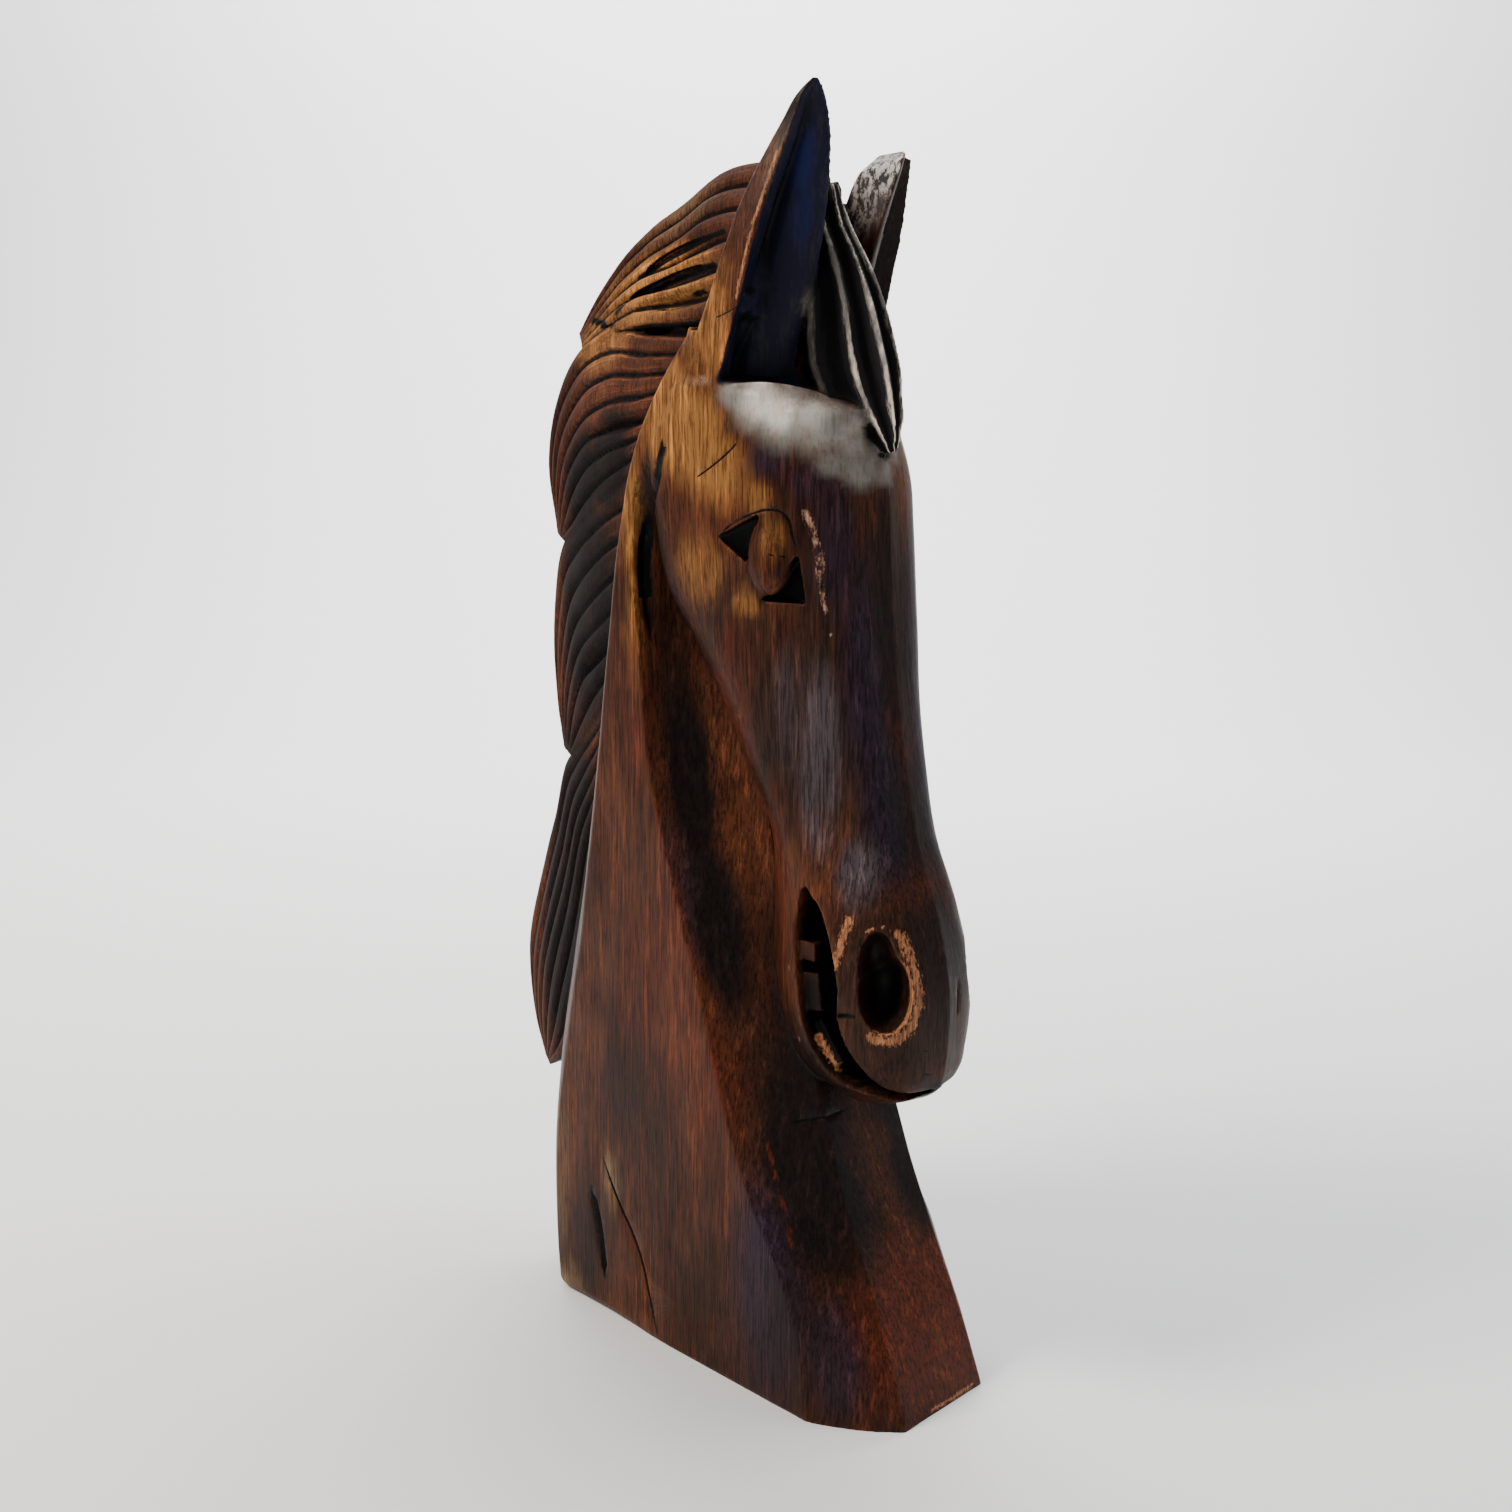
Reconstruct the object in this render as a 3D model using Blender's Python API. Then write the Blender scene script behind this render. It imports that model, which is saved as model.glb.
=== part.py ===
"""Carved wooden horse: head and neck on a boat-shaped foot, one solid cut from one block.

Metres, +Z up. The origin is the middle of the flat underside. The horse faces -Y and its left side is +X.
"""

import bmesh
import bpy
import numpy as np
from mathutils import Vector

# Driving dimensions, in metres
HEIGHT = 0.600          # floor to the tip of the whole ear
FOOT_LENGTH = 0.258     # underside, chest to back
FOOT_WIDTH = 0.1094     # underside, at its parallel sides, from where the neck narrows evenly to the head
CHEST_WIDTH = 0.0572    # the flat of the chest where it meets the floor
EAR_WALL = 0.004        # least thickness at the lip of an ear
GROOVE_DEPTH = 0.0045   # deepest cut between two strands of hair
MOUTH_DEPTH = 0.017     # how far the mouth is cut in from each side
EYE_CUT_DEPTH = 0.007   # depth of the cuts at the corners of an eye
BROKEN_EAR_LOSS = 0.02  # what is missing from the tip of the left ear

# The tables below give the figure's own proportions at a height of 600 units, so a unit is 1 mm as built
UNIT = HEIGHT / 600
STERN = 1.6             # 1 would round the back off as an ellipse, 2 would cut it to a wedge
FOOT_REACH = 130        # height at which the foot's own length and chest have faded out

# Neck and foot by height: chest y, half width of the chest's flat, ridge y, back edge y, half width of the
# side, back y, and how far the surface between chest and ridge swells (or hollows, below zero)
NECK = (
    (0, -129, 28.6, -90, 90, 54.7, 129, 2.5),
    (30, -118, 27.5, -86, 92.5, 54.7, 131, 1.5),
    (60, -105, 26.5, -76, 93, 54.5, 133, 0),
    (95, -89, 26, -54, 90.5, 54.2, 134, 0),
    (133, -75, 25, -37, 84, 54, 132, 0),
    (195, -52, 23, -16, 71.5, 53, 118, -1),
    (242, -40, 21, 2, 63, 52.5, 104, -3),
    (300, -25, 19, 18, 54, 52, 90, -6),
    (356, -12, 17, 25, 46, 51.5, 80, -7),
    (400, -4, 18, 30, 39, 51, 70, -6),
    (418, -2, 24, 30, 35.5, 50.6, 62, -4),
    (432, -2, 34, 26, 32, 50.5, 60, -1),
    (442, -6, 41, 18, 28, 50.4, 56, 0),
    (449, -10, 43, 6, 25, 50.3, 52, 0),
    (462, -20, 40, -10, 18, 50, 46, 0),
    (480, -22, 30, -16, 5.6, 49.5, 30, 0),
    (498, -16, 24, -12, -8, 47, 0, 0),
)

# Head by height: half of each level section, as six points (x, y) from the front's middle to the back's
HEAD = (
    (144, (0, -98), (8, -96), (13, -88), (12, -79), (7, -74), (0, -73)),
    (149, (0, -112), (13, -108), (20, -92), (18, -76), (11, -68.5), (0, -67)),
    (155, (0, -121), (18, -115), (27, -97), (24, -68), (16, -58), (0, -56)),
    (161, (0, -124), (21, -118), (31, -98), (27.5, -63), (19.5, -50.5), (0, -48)),
    (171, (0, -126), (24, -118.5), (34.5, -98), (31, -60), (22, -47), (0, -44)),
    (184, (0, -127), (26, -119), (36.5, -97), (33, -58), (24, -44), (0, -41)),
    (202, (0, -127), (26.5, -119), (37, -97), (34, -57), (26, -42.5), (0, -39)),
    (238, (0, -119), (22, -113), (31.5, -92), (33.5, -60), (27, -43), (0, -37)),
    (270, (0, -107), (19, -102.5), (29, -82), (35, -54), (27, -41), (0, -33)),
    (302, (0, -100), (19, -96), (31, -74), (38.5, -42), (30, -27), (0, -16)),
    (330, (0, -95.5), (20, -91), (35, -66), (42, -30), (33, -14), (0, 0)),
    (357, (0, -92), (21.5, -88), (38.5, -60), (45, -16), (38, -1), (0, 12)),
    (382, (0, -90), (23, -85), (41, -56), (47.5, -10), (45, 9), (0, 25)),
    (412, (0, -88.5), (24, -82), (43, -54), (49, -12), (48, 14), (0, 30)),
    (432, (0, -87), (24, -80), (43.5, -53), (49.5, -13), (49.6, 16), (0, 30)),
    (450, (0, -82), (23.5, -74.5), (43, -50), (50, -14), (50.2, 16), (0, 30)),
    (466, (0, -73), (22, -67), (39, -48), (49, -24), (50, 5), (0, 22)),
    (470, (0, -56), (19, -57), (38, -47), (49, -24), (50, 4), (0, 21)),
    (474, (0, -52), (18, -48), (33, -38), (48.5, -25), (50, 1), (0, 19)),
    (478, (0, -49), (17, -42), (28, -26), (42, -20), (49, -5), (0, 16)),
    (488, (0, -42), (16, -34), (26, -18), (38, -12), (48, -8), (0, 10)),
    (500, (0, -36), (14, -28), (24, -12), (36, -8), (45, -8), (0, 5)),
)

# Ear by height, as (x, y): outer lip, bottom of the hollow, inner lip, inner flank, back, outer back edge
EAR = (
    (466, (48, -23), (20, -24), (14, -39), (13, -14), (26, 0), (46, -4)),
    (497, (48, -35.5), (23, -28), (12, -45), (11, -20), (28, -5), (48, -14)),
    (514, (46.5, -41), (24, -33), (12, -53), (10.5, -26), (28, -13), (46.5, -21)),
    (532, (45, -45.5), (25, -40), (13, -58), (10, -33), (27, -22), (45, -28)),
    (550, (42.5, -51), (26, -46.5), (14, -62.5), (10, -40), (27, -30), (42, -35)),
    (568, (38.5, -56), (27, -54), (17, -67), (12, -46), (26, -39), (38, -44)),
    (584, (34.5, -61), (27.5, -61), (20.5, -69.5), (18, -56), (27, -50), (33.5, -53)),
    (595, (32, -65), (28.5, -65.5), (25, -70), (24, -64), (28, -60), (32, -62)),
    (600, (29.5, -68), (28.5, -68.2), (27.5, -69), (27.5, -68), (28.5, -67), (29.5, -67.5)),
)

# The left ear's broken end: where it is highest, as (x, y), and its fall inward and outward in degrees
EAR_TIP = (37, -60)
BREAK_SLOPES = (34, -12)
EAR_POINT = 0.3         # how blunt a tip is: 0 would end it in a point
LEFT_EAR_SHIFT = (3, 13) # how much further out than the right one it stands at its root and at its tip

# Forelock by height: front y, back y, half width
FORELOCK = (
    (562, -55, -36, 5),
    (545, -61, -38, 9),
    (528, -71.5, -42, 11.5),
    (505, -82.5, -44, 13),
    (490, -87.5, -44, 13.5),
    (478, -91, -46, 13),
    (468, -92.5, -52, 11),
    (459, -93.5, -62, 9),
    (451, -93, -74, 6),
    (443, -91.5, -84, 2.5),
)
FORELOCK_STRANDS = 6

# The mane seen from the side, as (y, z): where it leaves the neck, and a line round all its locks
MANE_ROOT = (
    (-36, 523), (-24, 504), (-8, 489), (8, 476), (20, 458), (28, 441), (34, 424), (38, 405), (42, 383),
    (46, 356), (49, 332), (52, 308), (55, 285), (60, 255), (67, 222), (75, 180), (84, 140), (91, 108),
)
MANE_ENVELOPE = (
    (-30, 580), (14, 578), (36, 570), (72, 555), (122, 511), (149, 456), (150, 400), (148, 346), (150, 290),
    (164, 225), (177, 163), (170, 120), (157, 95),
)
MANE_HALF_WIDTH = 38
MANE_CREST_HALF = 2.5
MANE_TAPER = 1.5        # 1 would make the mane a plain wedge, more keeps it full until near the crest

# Each lock of the mane as (y, z): its upper edge, its lower edge, and how many strands it is cut into
LOCKS = (
    (((-40, 571), (-14, 577), (14, 574.5), (32, 566), (61, 555), (93, 533), (115, 507)),
     ((-36, 503), (0, 502), (50, 504), (105, 497)), 6),
    (((-18, 496), (30, 500), (83, 506), (117, 499), (142, 473), (147, 446), (127, 404)),
     ((28, 441), (62, 421), (95, 406), (117, 401)), 7),
    (((30, 439), (75, 424), (105, 411), (123, 401), (141, 374), (147, 346), (138, 316), (116, 290)),
     ((50, 330), (76, 305), (96, 292), (105, 288)), 7),
    (((50, 328), (80, 308), (104, 293), (118, 284), (136, 250), (161, 207), (174, 166), (167, 130),
      (143, 110)),
     ((55, 290), (66, 225), (78, 168), (98, 130), (128, 110)), 7),
)

# The mouth's opening on the cheek, from its corner to the front: x of the skin, rear and front edge (y, z)
MOUTH = (
    (34.5, (-67, 247), (-70, 248)),
    (34, (-63, 233), (-79, 239)),
    (35.5, (-63, 216), (-88, 222)),
    (37, (-66, 200), (-93.5, 205)),
    (37, (-69, 183), (-94, 190)),
    (35, (-76, 171), (-98, 178)),
    (32, (-83, 162), (-104, 169)),
    (27, (-93, 157), (-110, 161.5)),
    (20, (-104, 154), (-117, 158)),
    (12, (-112, 151), (-124, 157)),
)

# Block teeth inside the mouth: middle (x, y, z), size (x, y, z) and lean forward in degrees
TEETH = (
    ((22.5, -67, 217), (20, 14, 9), 0),
    ((22.5, -69.5, 198), (20, 16, 18), -8),
    ((19, -76.5, 173), (20, 13, 22), -38),
)

# The three-cornered cuts before and behind an eye: (x, y, z) of each corner and its share of the depth
EYE_CUTS = (
    (((48, -27, 406), 0.1), ((44, -50, 417), 1), ((45.5, -44, 394), 1)),
    (((37, -66.5, 399), 1), ((35, -69.5, 377), 0.7), ((44, -50, 378), 1)),
)
EYE_OUTWARD = (0.9, -0.42, 0)
EYE_CUT_FLARE = 7       # how far each cutter stands out of the skin

# Rounded swellings and hollows on the left: middle, half sizes, and the way the second half size points
EYEBALL = ((39.5, -52, 398), (10.5, 6.5, 18), (0.93, -0.36, 0.05))
NOSTRIL_RIM = ((26.5, -107, 208), (12, 6, 24), (0.8, -0.6, 0))
NOSTRIL = ((31, -115, 209), (13, 20, 21), (0.75, -0.66, 0))


def smooth(knots, values, at):
    """The values read at new places along a smooth curve through all of them."""
    knots, values, at = (np.asarray(item, float) for item in (knots, values, at))
    slopes = np.gradient(values, knots, axis=0)
    i = np.clip(np.searchsorted(knots, at, side="right") - 1, 0, len(knots) - 2)
    span = (knots[i + 1] - knots[i])[:, None]
    u = (at - knots[i])[:, None] / span
    return (
        (1 + 2 * u) * (1 - u) ** 2 * values[i]
        + u * (1 - u) ** 2 * span * slopes[i]
        + u**2 * (3 - 2 * u) * values[i + 1]
        + u**2 * (u - 1) * span * slopes[i + 1]
    )


def along(points, count):
    """Evenly spaced points along a smooth curve through the given ones."""
    points = np.asarray(points, float)
    knots = np.concatenate([[0], np.cumsum(np.linalg.norm(np.diff(points, axis=0), axis=1))])
    return smooth(knots, points, np.linspace(0, knots[-1], count))


def between(rows, count):
    """A table's rows with more put in between, evenly over the heights."""
    heights = np.array([row[0] for row in rows], float)
    values = np.array([np.ravel(row[1:]) for row in rows], float)
    order = np.argsort(heights)
    at = np.interp(np.linspace(0, len(rows) - 1, count), range(len(rows)), heights[order])
    return at, smooth(heights[order], values[order], at)


def mirrored(half):
    """A closed outline from its half at x >= 0, whose first and last points lie on the middle plane."""
    left = half[1:-1][::-1] * (-1, 1)
    return np.concatenate([half, left])


def at_height(outline, height):
    return np.column_stack([outline, np.full(len(outline), height)])


def loft(name, rings):
    """A closed solid through rings of one point count, with a fan of faces over each end."""
    shape = bmesh.new()
    rows = [[shape.verts.new(Vector(point) * UNIT) for point in ring] for ring in rings]
    for low, high in zip(rows, rows[1:]):
        for i, corner in enumerate(low):
            j = (i + 1) % len(low)
            shape.faces.new((corner, low[j], high[j], high[i]))
    for row in (rows[0], rows[-1]):
        middle = shape.verts.new(sum((vert.co for vert in row), Vector()) / len(row))
        for i, corner in enumerate(row):
            shape.faces.new((middle, corner, row[(i + 1) % len(row)]))
    bmesh.ops.recalc_face_normals(shape, faces=shape.faces)
    mesh = bpy.data.meshes.new(name)
    shape.to_mesh(mesh)
    shape.free()
    return bpy.data.objects.new(name, mesh)


def neck_ring(height, chest, flat, ridge, edge, side, back, swell):
    """One level section of the neck, from the chest round to the back."""
    start, end = np.array([flat, chest]), np.array([side, ridge])
    outward = np.array([end[1] - start[1], start[0] - end[0]])
    bend = (start + end) / 2 + 2 * swell * outward / np.linalg.norm(outward)
    t = np.linspace(0, 1, 6)[:, None]
    front = (1 - t) ** 2 * start + 2 * t * (1 - t) * bend + t**2 * end
    turn = np.radians([0, 14, 34, 60, 90])
    rear = np.column_stack([side * np.cos(turn) ** STERN, edge + (back - edge) * np.sin(turn) ** STERN])
    rear[-1, 0] = 0
    half = np.concatenate([[(0, chest)], front, rear])
    return at_height(mirrored(half), height)


def neck():
    """The neck and the foot below it, whose underside takes the foot's named sizes."""
    _, chest, flat, _, _, side, back, _ = NECK[0]
    length = FOOT_LENGTH / UNIT / (back - chest)
    width = FOOT_WIDTH / UNIT / (2 * side)
    front = CHEST_WIDTH / UNIT / (2 * flat)
    heights, values = between(NECK, 24)
    foot = np.clip(1 - heights / FOOT_REACH, 0, 1)
    whole = 1 - heights / heights[-1]
    reach = np.column_stack([foot, foot, foot, foot, whole, foot, foot])
    values *= 1 + reach * (np.array([length, front, length, length, width, length, 1]) - 1)
    return loft("neck", [neck_ring(height, *row) for height, row in zip(heights, values)])


def head():
    heights, values = between(HEAD, 26)
    rings = []
    for height, row in zip(heights, values):
        half = along(row.reshape(-1, 2), 13)
        half[:, 0] = np.maximum(half[:, 0], 0)
        half[[0, -1], 0] = 0
        rings.append(at_height(mirrored(half), height))
    return loft("head", rings)


def ear(name, side, root_shift=0, tip_shift=0):
    """An ear on one side (+1 or -1), with its hollow to the front, shifted outward by so much."""
    heights, values = between(EAR, 17)
    rings = []
    for height, row in zip(heights, values):
        outer, hollow, inner, flank, back, edge = row.reshape(-1, 2)
        wall = min(EAR_WALL / UNIT, np.linalg.norm(outer - inner) / 4) * np.array([0, 1])
        ring = np.array([
            outer, (outer + hollow) / 2, hollow, (inner + hollow) / 2, inner, inner + wall,
            flank, back, (back + edge) / 2 + wall / 2, edge,
        ])
        ring[:, 0] += np.interp(height, heights[[0, -1]], (root_shift, tip_shift))
        rings.append(at_height(ring * (side, 1), height))
    point = rings[-1].mean(axis=0)
    rings[-1] = point + (rings[-2] - rings[-2].mean(axis=0)) * EAR_POINT
    return loft(name, rings)


def strand_relief(across, strands):
    """Height of carved hair across its width, from 0 in a cut to 1 along the middle of a strand."""
    place = np.mod(across * strands, 1)
    return 1 - np.abs(2 * place - 1) ** 2.4


def forelock():
    heights, values = between(FORELOCK, 13)
    across = np.linspace(0, 1, 3 * FORELOCK_STRANDS + 1)
    turn = (across - 0.5) * np.pi
    rings = []
    for height, (front, back, half) in zip(heights, values):
        deep = min(1.3 * GROOVE_DEPTH / UNIT, 0.4 * half)
        cut = deep * (strand_relief(across, FORELOCK_STRANDS) - 0.7)
        x = (half + cut) * np.sin(turn)
        y = back + (front - back - cut) * np.cos(turn)
        rings.append(at_height(np.column_stack([x, y]), height))
    return loft("forelock", rings)


def mane_depth(place):
    """How far (y, z) lies from the mane's root, 0, towards its envelope, 1."""
    root, envelope = along(MANE_ROOT, 150), along(MANE_ENVELOPE, 150)
    to_root = np.linalg.norm(place[:, None] - root, axis=2).min(axis=1)
    to_envelope = np.linalg.norm(place[:, None] - envelope, axis=2).min(axis=1)
    return to_root / (to_root + to_envelope)


def mane_surface(place, out):
    """Points over (y, z) on the mane's left-hand surface, each moved outward along its normal."""
    depth = mane_depth(place)
    step = 1.0
    slope = np.column_stack([
        (mane_depth(place + (step, 0)) - mane_depth(place - (step, 0))) / (2 * step),
        (mane_depth(place + (0, step)) - mane_depth(place - (0, step))) / (2 * step),
    ])
    x = MANE_HALF_WIDTH * (1 - depth**MANE_TAPER) + MANE_CREST_HALF
    fall = MANE_HALF_WIDTH * MANE_TAPER * depth ** (MANE_TAPER - 1)
    normal = np.column_stack([np.ones(len(place)), fall[:, None] * slope])
    normal /= np.linalg.norm(normal, axis=1)[:, None]
    moved = np.column_stack([x, place]) + normal * out[:, None]
    moved[:, 0] = np.maximum(moved[:, 0], MANE_CREST_HALF / 2)
    return moved


def mane_core():
    """What fills the mane under its locks, from the poll down to the withers."""
    outward = np.array([0, 0.02, 0.3, 0.58])
    half = MANE_HALF_WIDTH * (1 - outward**MANE_TAPER) - 3
    outward[0] = -0.12
    rings = []
    for low, high in zip(along(MANE_ROOT, 18), along(MANE_ENVELOPE, 18)):
        left = np.column_stack([half, low + (high - low) * outward[:, None]])
        rings.append(np.concatenate([left, left[::-1] * (-1, 1, 1)]))
    return loft("mane core", rings)


def lock(name, upper, lower, strands):
    """One lock of the mane, alike on both sides: its strands sweep from the neck to the lock's tip."""
    lengths = 10
    across = np.linspace(0, 1, 3 * strands + 1)
    rings = []
    for high, low, rise in zip(along(upper, lengths), along(lower, lengths), np.linspace(1, 3, lengths)):
        place = high + (low - high) * across[:, None]
        width = np.linalg.norm(high - low) / strands
        deep = min(GROOVE_DEPTH / UNIT, 0.45 * width)
        left = mane_surface(place, rise + deep * (strand_relief(across, strands) - 0.75))
        rings.append(np.concatenate([left, left[::-1] * (-1, 1, 1)]))
    return loft(name, rings)


def primitive(name, make, middle, sizes, turn, **options):
    """A sphere or cube of unit size brought to its place, its sizes and its turn."""
    shape = bmesh.new()
    make(shape, **options)
    mesh = bpy.data.meshes.new(name)
    shape.to_mesh(mesh)
    shape.free()
    made = bpy.data.objects.new(name, mesh)
    made.location = Vector(middle) * UNIT
    made.scale = Vector(sizes) * UNIT
    made.rotation_euler = turn
    return made


def dome(name, side, middle, radii, outward):
    """A swelling or hollow on one side, given as for the left: its second half size points outward."""
    flip = Vector((side, 1, 1))
    turn = (Vector(outward) * flip).to_track_quat("Y", "Z").to_euler()
    round_form = {"u_segments": 14, "v_segments": 8, "radius": 1}
    return primitive(name, bmesh.ops.create_uvsphere, Vector(middle) * flip, radii, turn, **round_form)


def block(name, middle, size, turn):
    """A box with this middle and these sizes, turned by so many degrees about x, y and z."""
    return primitive(name, bmesh.ops.create_cube, middle, size, np.radians(turn), size=1)


def pit(name, side, corners):
    """A three-cornered cutter that goes straight in, to each corner's own depth."""
    mouth = np.array([corner for corner, _ in corners], float)
    depths = np.array([share for _, share in corners])[:, None] * EYE_CUT_DEPTH / UNIT
    normal = np.array(EYE_OUTWARD) / np.linalg.norm(EYE_OUTWARD)
    rings = np.array([mouth + normal * EYE_CUT_FLARE, mouth - normal * depths])
    return loft(name, rings * (side, 1, 1))


def mouth_cutter(name, side):
    """The opening between the lips, cut in from the cheek and round to the front of the muzzle."""
    rows = np.array([(skin, *rear, *front) for skin, rear, front in MOUTH])
    rings = []
    for skin, *edges in along(rows, 14):
        rear, front = np.reshape(edges, (2, 2))
        middle = (rear + front) / 2
        inside = max(skin - MOUTH_DEPTH / UNIT, 2)
        deep = middle + (np.array([front, rear]) - middle) * 0.75
        ring = [(skin + 12, *rear), (skin + 12, *front), (inside, *deep[0]), (inside, *deep[1])]
        rings.append(np.array(ring) * (side, 1, 1))
    return loft(name, rings)


def broken_tip(slope):
    """What is gone from the left ear on one side of its highest point: all above a slope in degrees."""
    size = 56
    turn = np.radians(slope)
    x, y = EAR_TIP
    z = (HEIGHT - BROKEN_EAR_LOSS) / UNIT
    middle = (x - size / 2 * np.sin(turn), y, z + size / 2 * np.cos(turn))
    return block("broken tip of the left ear", middle, (size, size, size), (0, -slope, 0))


def combine(target, name, operation, tools):
    """Join a collection's forms to the target, or cut them out of it."""
    step = target.modifiers.new(name, "BOOLEAN")
    step.operation = operation
    step.solver = "MANIFOLD"
    step.operand_type = "COLLECTION"
    step.collection = tools


def main():
    for item in list(bpy.data.objects):
        bpy.data.objects.remove(item)
    wood = bpy.data.materials.new("dark varnished wood")
    wood.use_nodes = True
    surface = wood.node_tree.nodes["Principled BSDF"]
    surface.inputs["Base Color"].default_value = (0.13, 0.055, 0.03, 1)
    surface.inputs["Roughness"].default_value = 0.35
    surface.inputs["Metallic"].default_value = 0

    forms = [head(), mane_core(), forelock(), ear("right ear", -1), ear("left ear", 1, *LEFT_EAR_SHIFT)]
    for number, (upper, lower, strands) in enumerate(LOCKS, 1):
        forms.append(lock(f"lock {number}", upper, lower, strands))
    cuts = [broken_tip(slope) for slope in BREAK_SLOPES]
    inside = []
    for word, side in (("right", -1), ("left", 1)):
        forms.append(dome(f"{word} nostril rim", side, *NOSTRIL_RIM))
        cuts.append(dome(f"{word} nostril", side, *NOSTRIL))
        cuts.append(mouth_cutter(f"{word} mouth", side))
        for number, corners in enumerate(EYE_CUTS, 1):
            cuts.append(pit(f"{word} eye cut {number}", side, corners))
        inside.append(dome(f"{word} eyeball", side, *EYEBALL))
        for number, ((x, y, z), size, lean) in enumerate(TEETH, 1):
            inside.append(block(f"{word} tooth {number}", (side * x, y, z), size, (lean, 0, 0)))

    groups = {}
    for title, members in (("joined forms", forms), ("cutters", cuts), ("eyes and teeth", inside)):
        groups[title] = bpy.data.collections.new(title)
        bpy.context.scene.collection.children.link(groups[title])
        for made in members:
            groups[title].objects.link(made)
            made.hide_render = True
            made.display_type = "WIRE"

    figure = bpy.data.collections.new("wooden horse")
    bpy.context.scene.collection.children.link(figure)
    horse = neck()
    horse.name = "horse_head"
    horse.data.materials.append(wood)
    figure.objects.link(horse)
    combine(horse, "join the forms", "UNION", groups["joined forms"])
    combine(horse, "carve the openings", "DIFFERENCE", groups["cutters"])
    combine(horse, "leave the eyes and teeth", "UNION", groups["eyes and teeth"])


main()
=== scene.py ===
"""Looks of a carved wooden horse: head and neck on a boat-shaped foot, one block, stained and varnished.

Metres, +Z up. The horse faces -Y and its left side is +X. Lengths in the tables are in mm.
"""

import bmesh
import bpy
import numpy as np
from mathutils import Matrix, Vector, kdtree, noise


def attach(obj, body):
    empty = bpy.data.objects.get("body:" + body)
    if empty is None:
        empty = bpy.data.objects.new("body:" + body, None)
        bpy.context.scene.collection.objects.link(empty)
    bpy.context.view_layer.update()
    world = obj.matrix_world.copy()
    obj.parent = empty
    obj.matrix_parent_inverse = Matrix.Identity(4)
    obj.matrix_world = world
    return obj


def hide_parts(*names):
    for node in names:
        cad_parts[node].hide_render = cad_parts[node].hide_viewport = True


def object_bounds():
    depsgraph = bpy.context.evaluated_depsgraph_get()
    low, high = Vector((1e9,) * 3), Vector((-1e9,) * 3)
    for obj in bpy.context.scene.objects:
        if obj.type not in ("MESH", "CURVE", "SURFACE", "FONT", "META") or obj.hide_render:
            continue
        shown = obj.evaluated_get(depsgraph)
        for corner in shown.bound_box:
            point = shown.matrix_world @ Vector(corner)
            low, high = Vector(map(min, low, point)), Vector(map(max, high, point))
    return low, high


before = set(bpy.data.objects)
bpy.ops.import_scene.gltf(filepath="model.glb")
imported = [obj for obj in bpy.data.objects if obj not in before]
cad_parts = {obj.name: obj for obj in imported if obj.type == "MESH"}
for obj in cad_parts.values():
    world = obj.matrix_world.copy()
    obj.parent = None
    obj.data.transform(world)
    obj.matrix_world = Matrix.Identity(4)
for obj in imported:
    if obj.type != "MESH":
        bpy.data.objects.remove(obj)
cad_box = np.array(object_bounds(), float)

HEIGHT = 0.600
EAR_WALL = 0.004        # thickness of an ear's edge
GROOVE_DEPTH = 0.0048   # of the cuts between the mane's strands
MOUTH_DEPTH = 0.017     # how far the mouth is cut in from each side
MOUTH_NARROWS = 0.75    # how wide it is there, as a share of its width at the skin
EYE_CUT_DEPTH = 0.008
BROKEN_EAR_LOSS = 0.02  # how much lower than the right ear's tip the left one's break lies
VOXEL = 0.0009          # size of the even faces that the joined forms are given
EVENING = 3             # rounds that smooth the steps of those faces
MOVE = 0.6              # how far a point goes towards the mean of its neighbours in a round
REGAIN = 0.9            # how much of a round's shrinking the next step takes back
TRIANGLES = 196000      # of the finished figure
SECTIONS = {            # how many sections each form is given along its length
    "neck": 110, "head": 120, "brow": 24, "ear": 100, "forelock": 110, "mane core": 60, "lock": 70,
    "mouth": 60,
}
HALF_RING = 34          # points of the head's and the brow's sections, on one side
NECK_POINTS = (18, 16)  # points of the neck's sections from chest to ridge, and from there to the back

# The tables below give the figure's own proportions at a height of 600 units, so a unit is 1 mm as built
UNIT = HEIGHT / 600
STERN = 1.6             # 1 would round the back off as an ellipse, 2 would cut it to a wedge

# Neck and foot by height: chest y, half width of the chest's flat, ridge y, back edge y, half width of the
# side, back y, and how far the surface between chest and ridge swells (or hollows, below zero)
NECK = (
    (0, -129, 28.6, -90, 90, 54.7, 129, 2.5),
    (30, -118, 27.5, -86, 92.5, 54.7, 131, 1.5),
    (60, -105, 26.5, -76, 93, 54.5, 133, 0),
    (95, -89, 26, -54, 90.5, 54.2, 134, 0),
    (133, -75, 25, -37, 84, 54, 132, 0),
    (195, -52, 23, -16, 71.5, 53, 118, -1),
    (242, -40, 21, 2, 63, 52.5, 104, -3),
    (300, -25, 19, 18, 54, 52, 90, -6),
    (356, -12, 17, 25, 46, 51.5, 80, -7),
    (400, -4, 18, 30, 39, 51, 70, -6),
    (418, -2, 24, 30, 35.5, 50.6, 62, -4),
    (432, -2, 34, 26, 32, 50.5, 60, -1),
    (442, -6, 41, 18, 28, 50.4, 56, 0),
    (449, -10, 43, 6, 25, 50.3, 52, 0),
    (462, -20, 40, -10, 18, 50, 46, 0),
    (480, -22, 30, -16, 5.6, 49.5, 30, 0),
    (498, -16, 24, -12, -8, 47, 0, 0),
)

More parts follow.
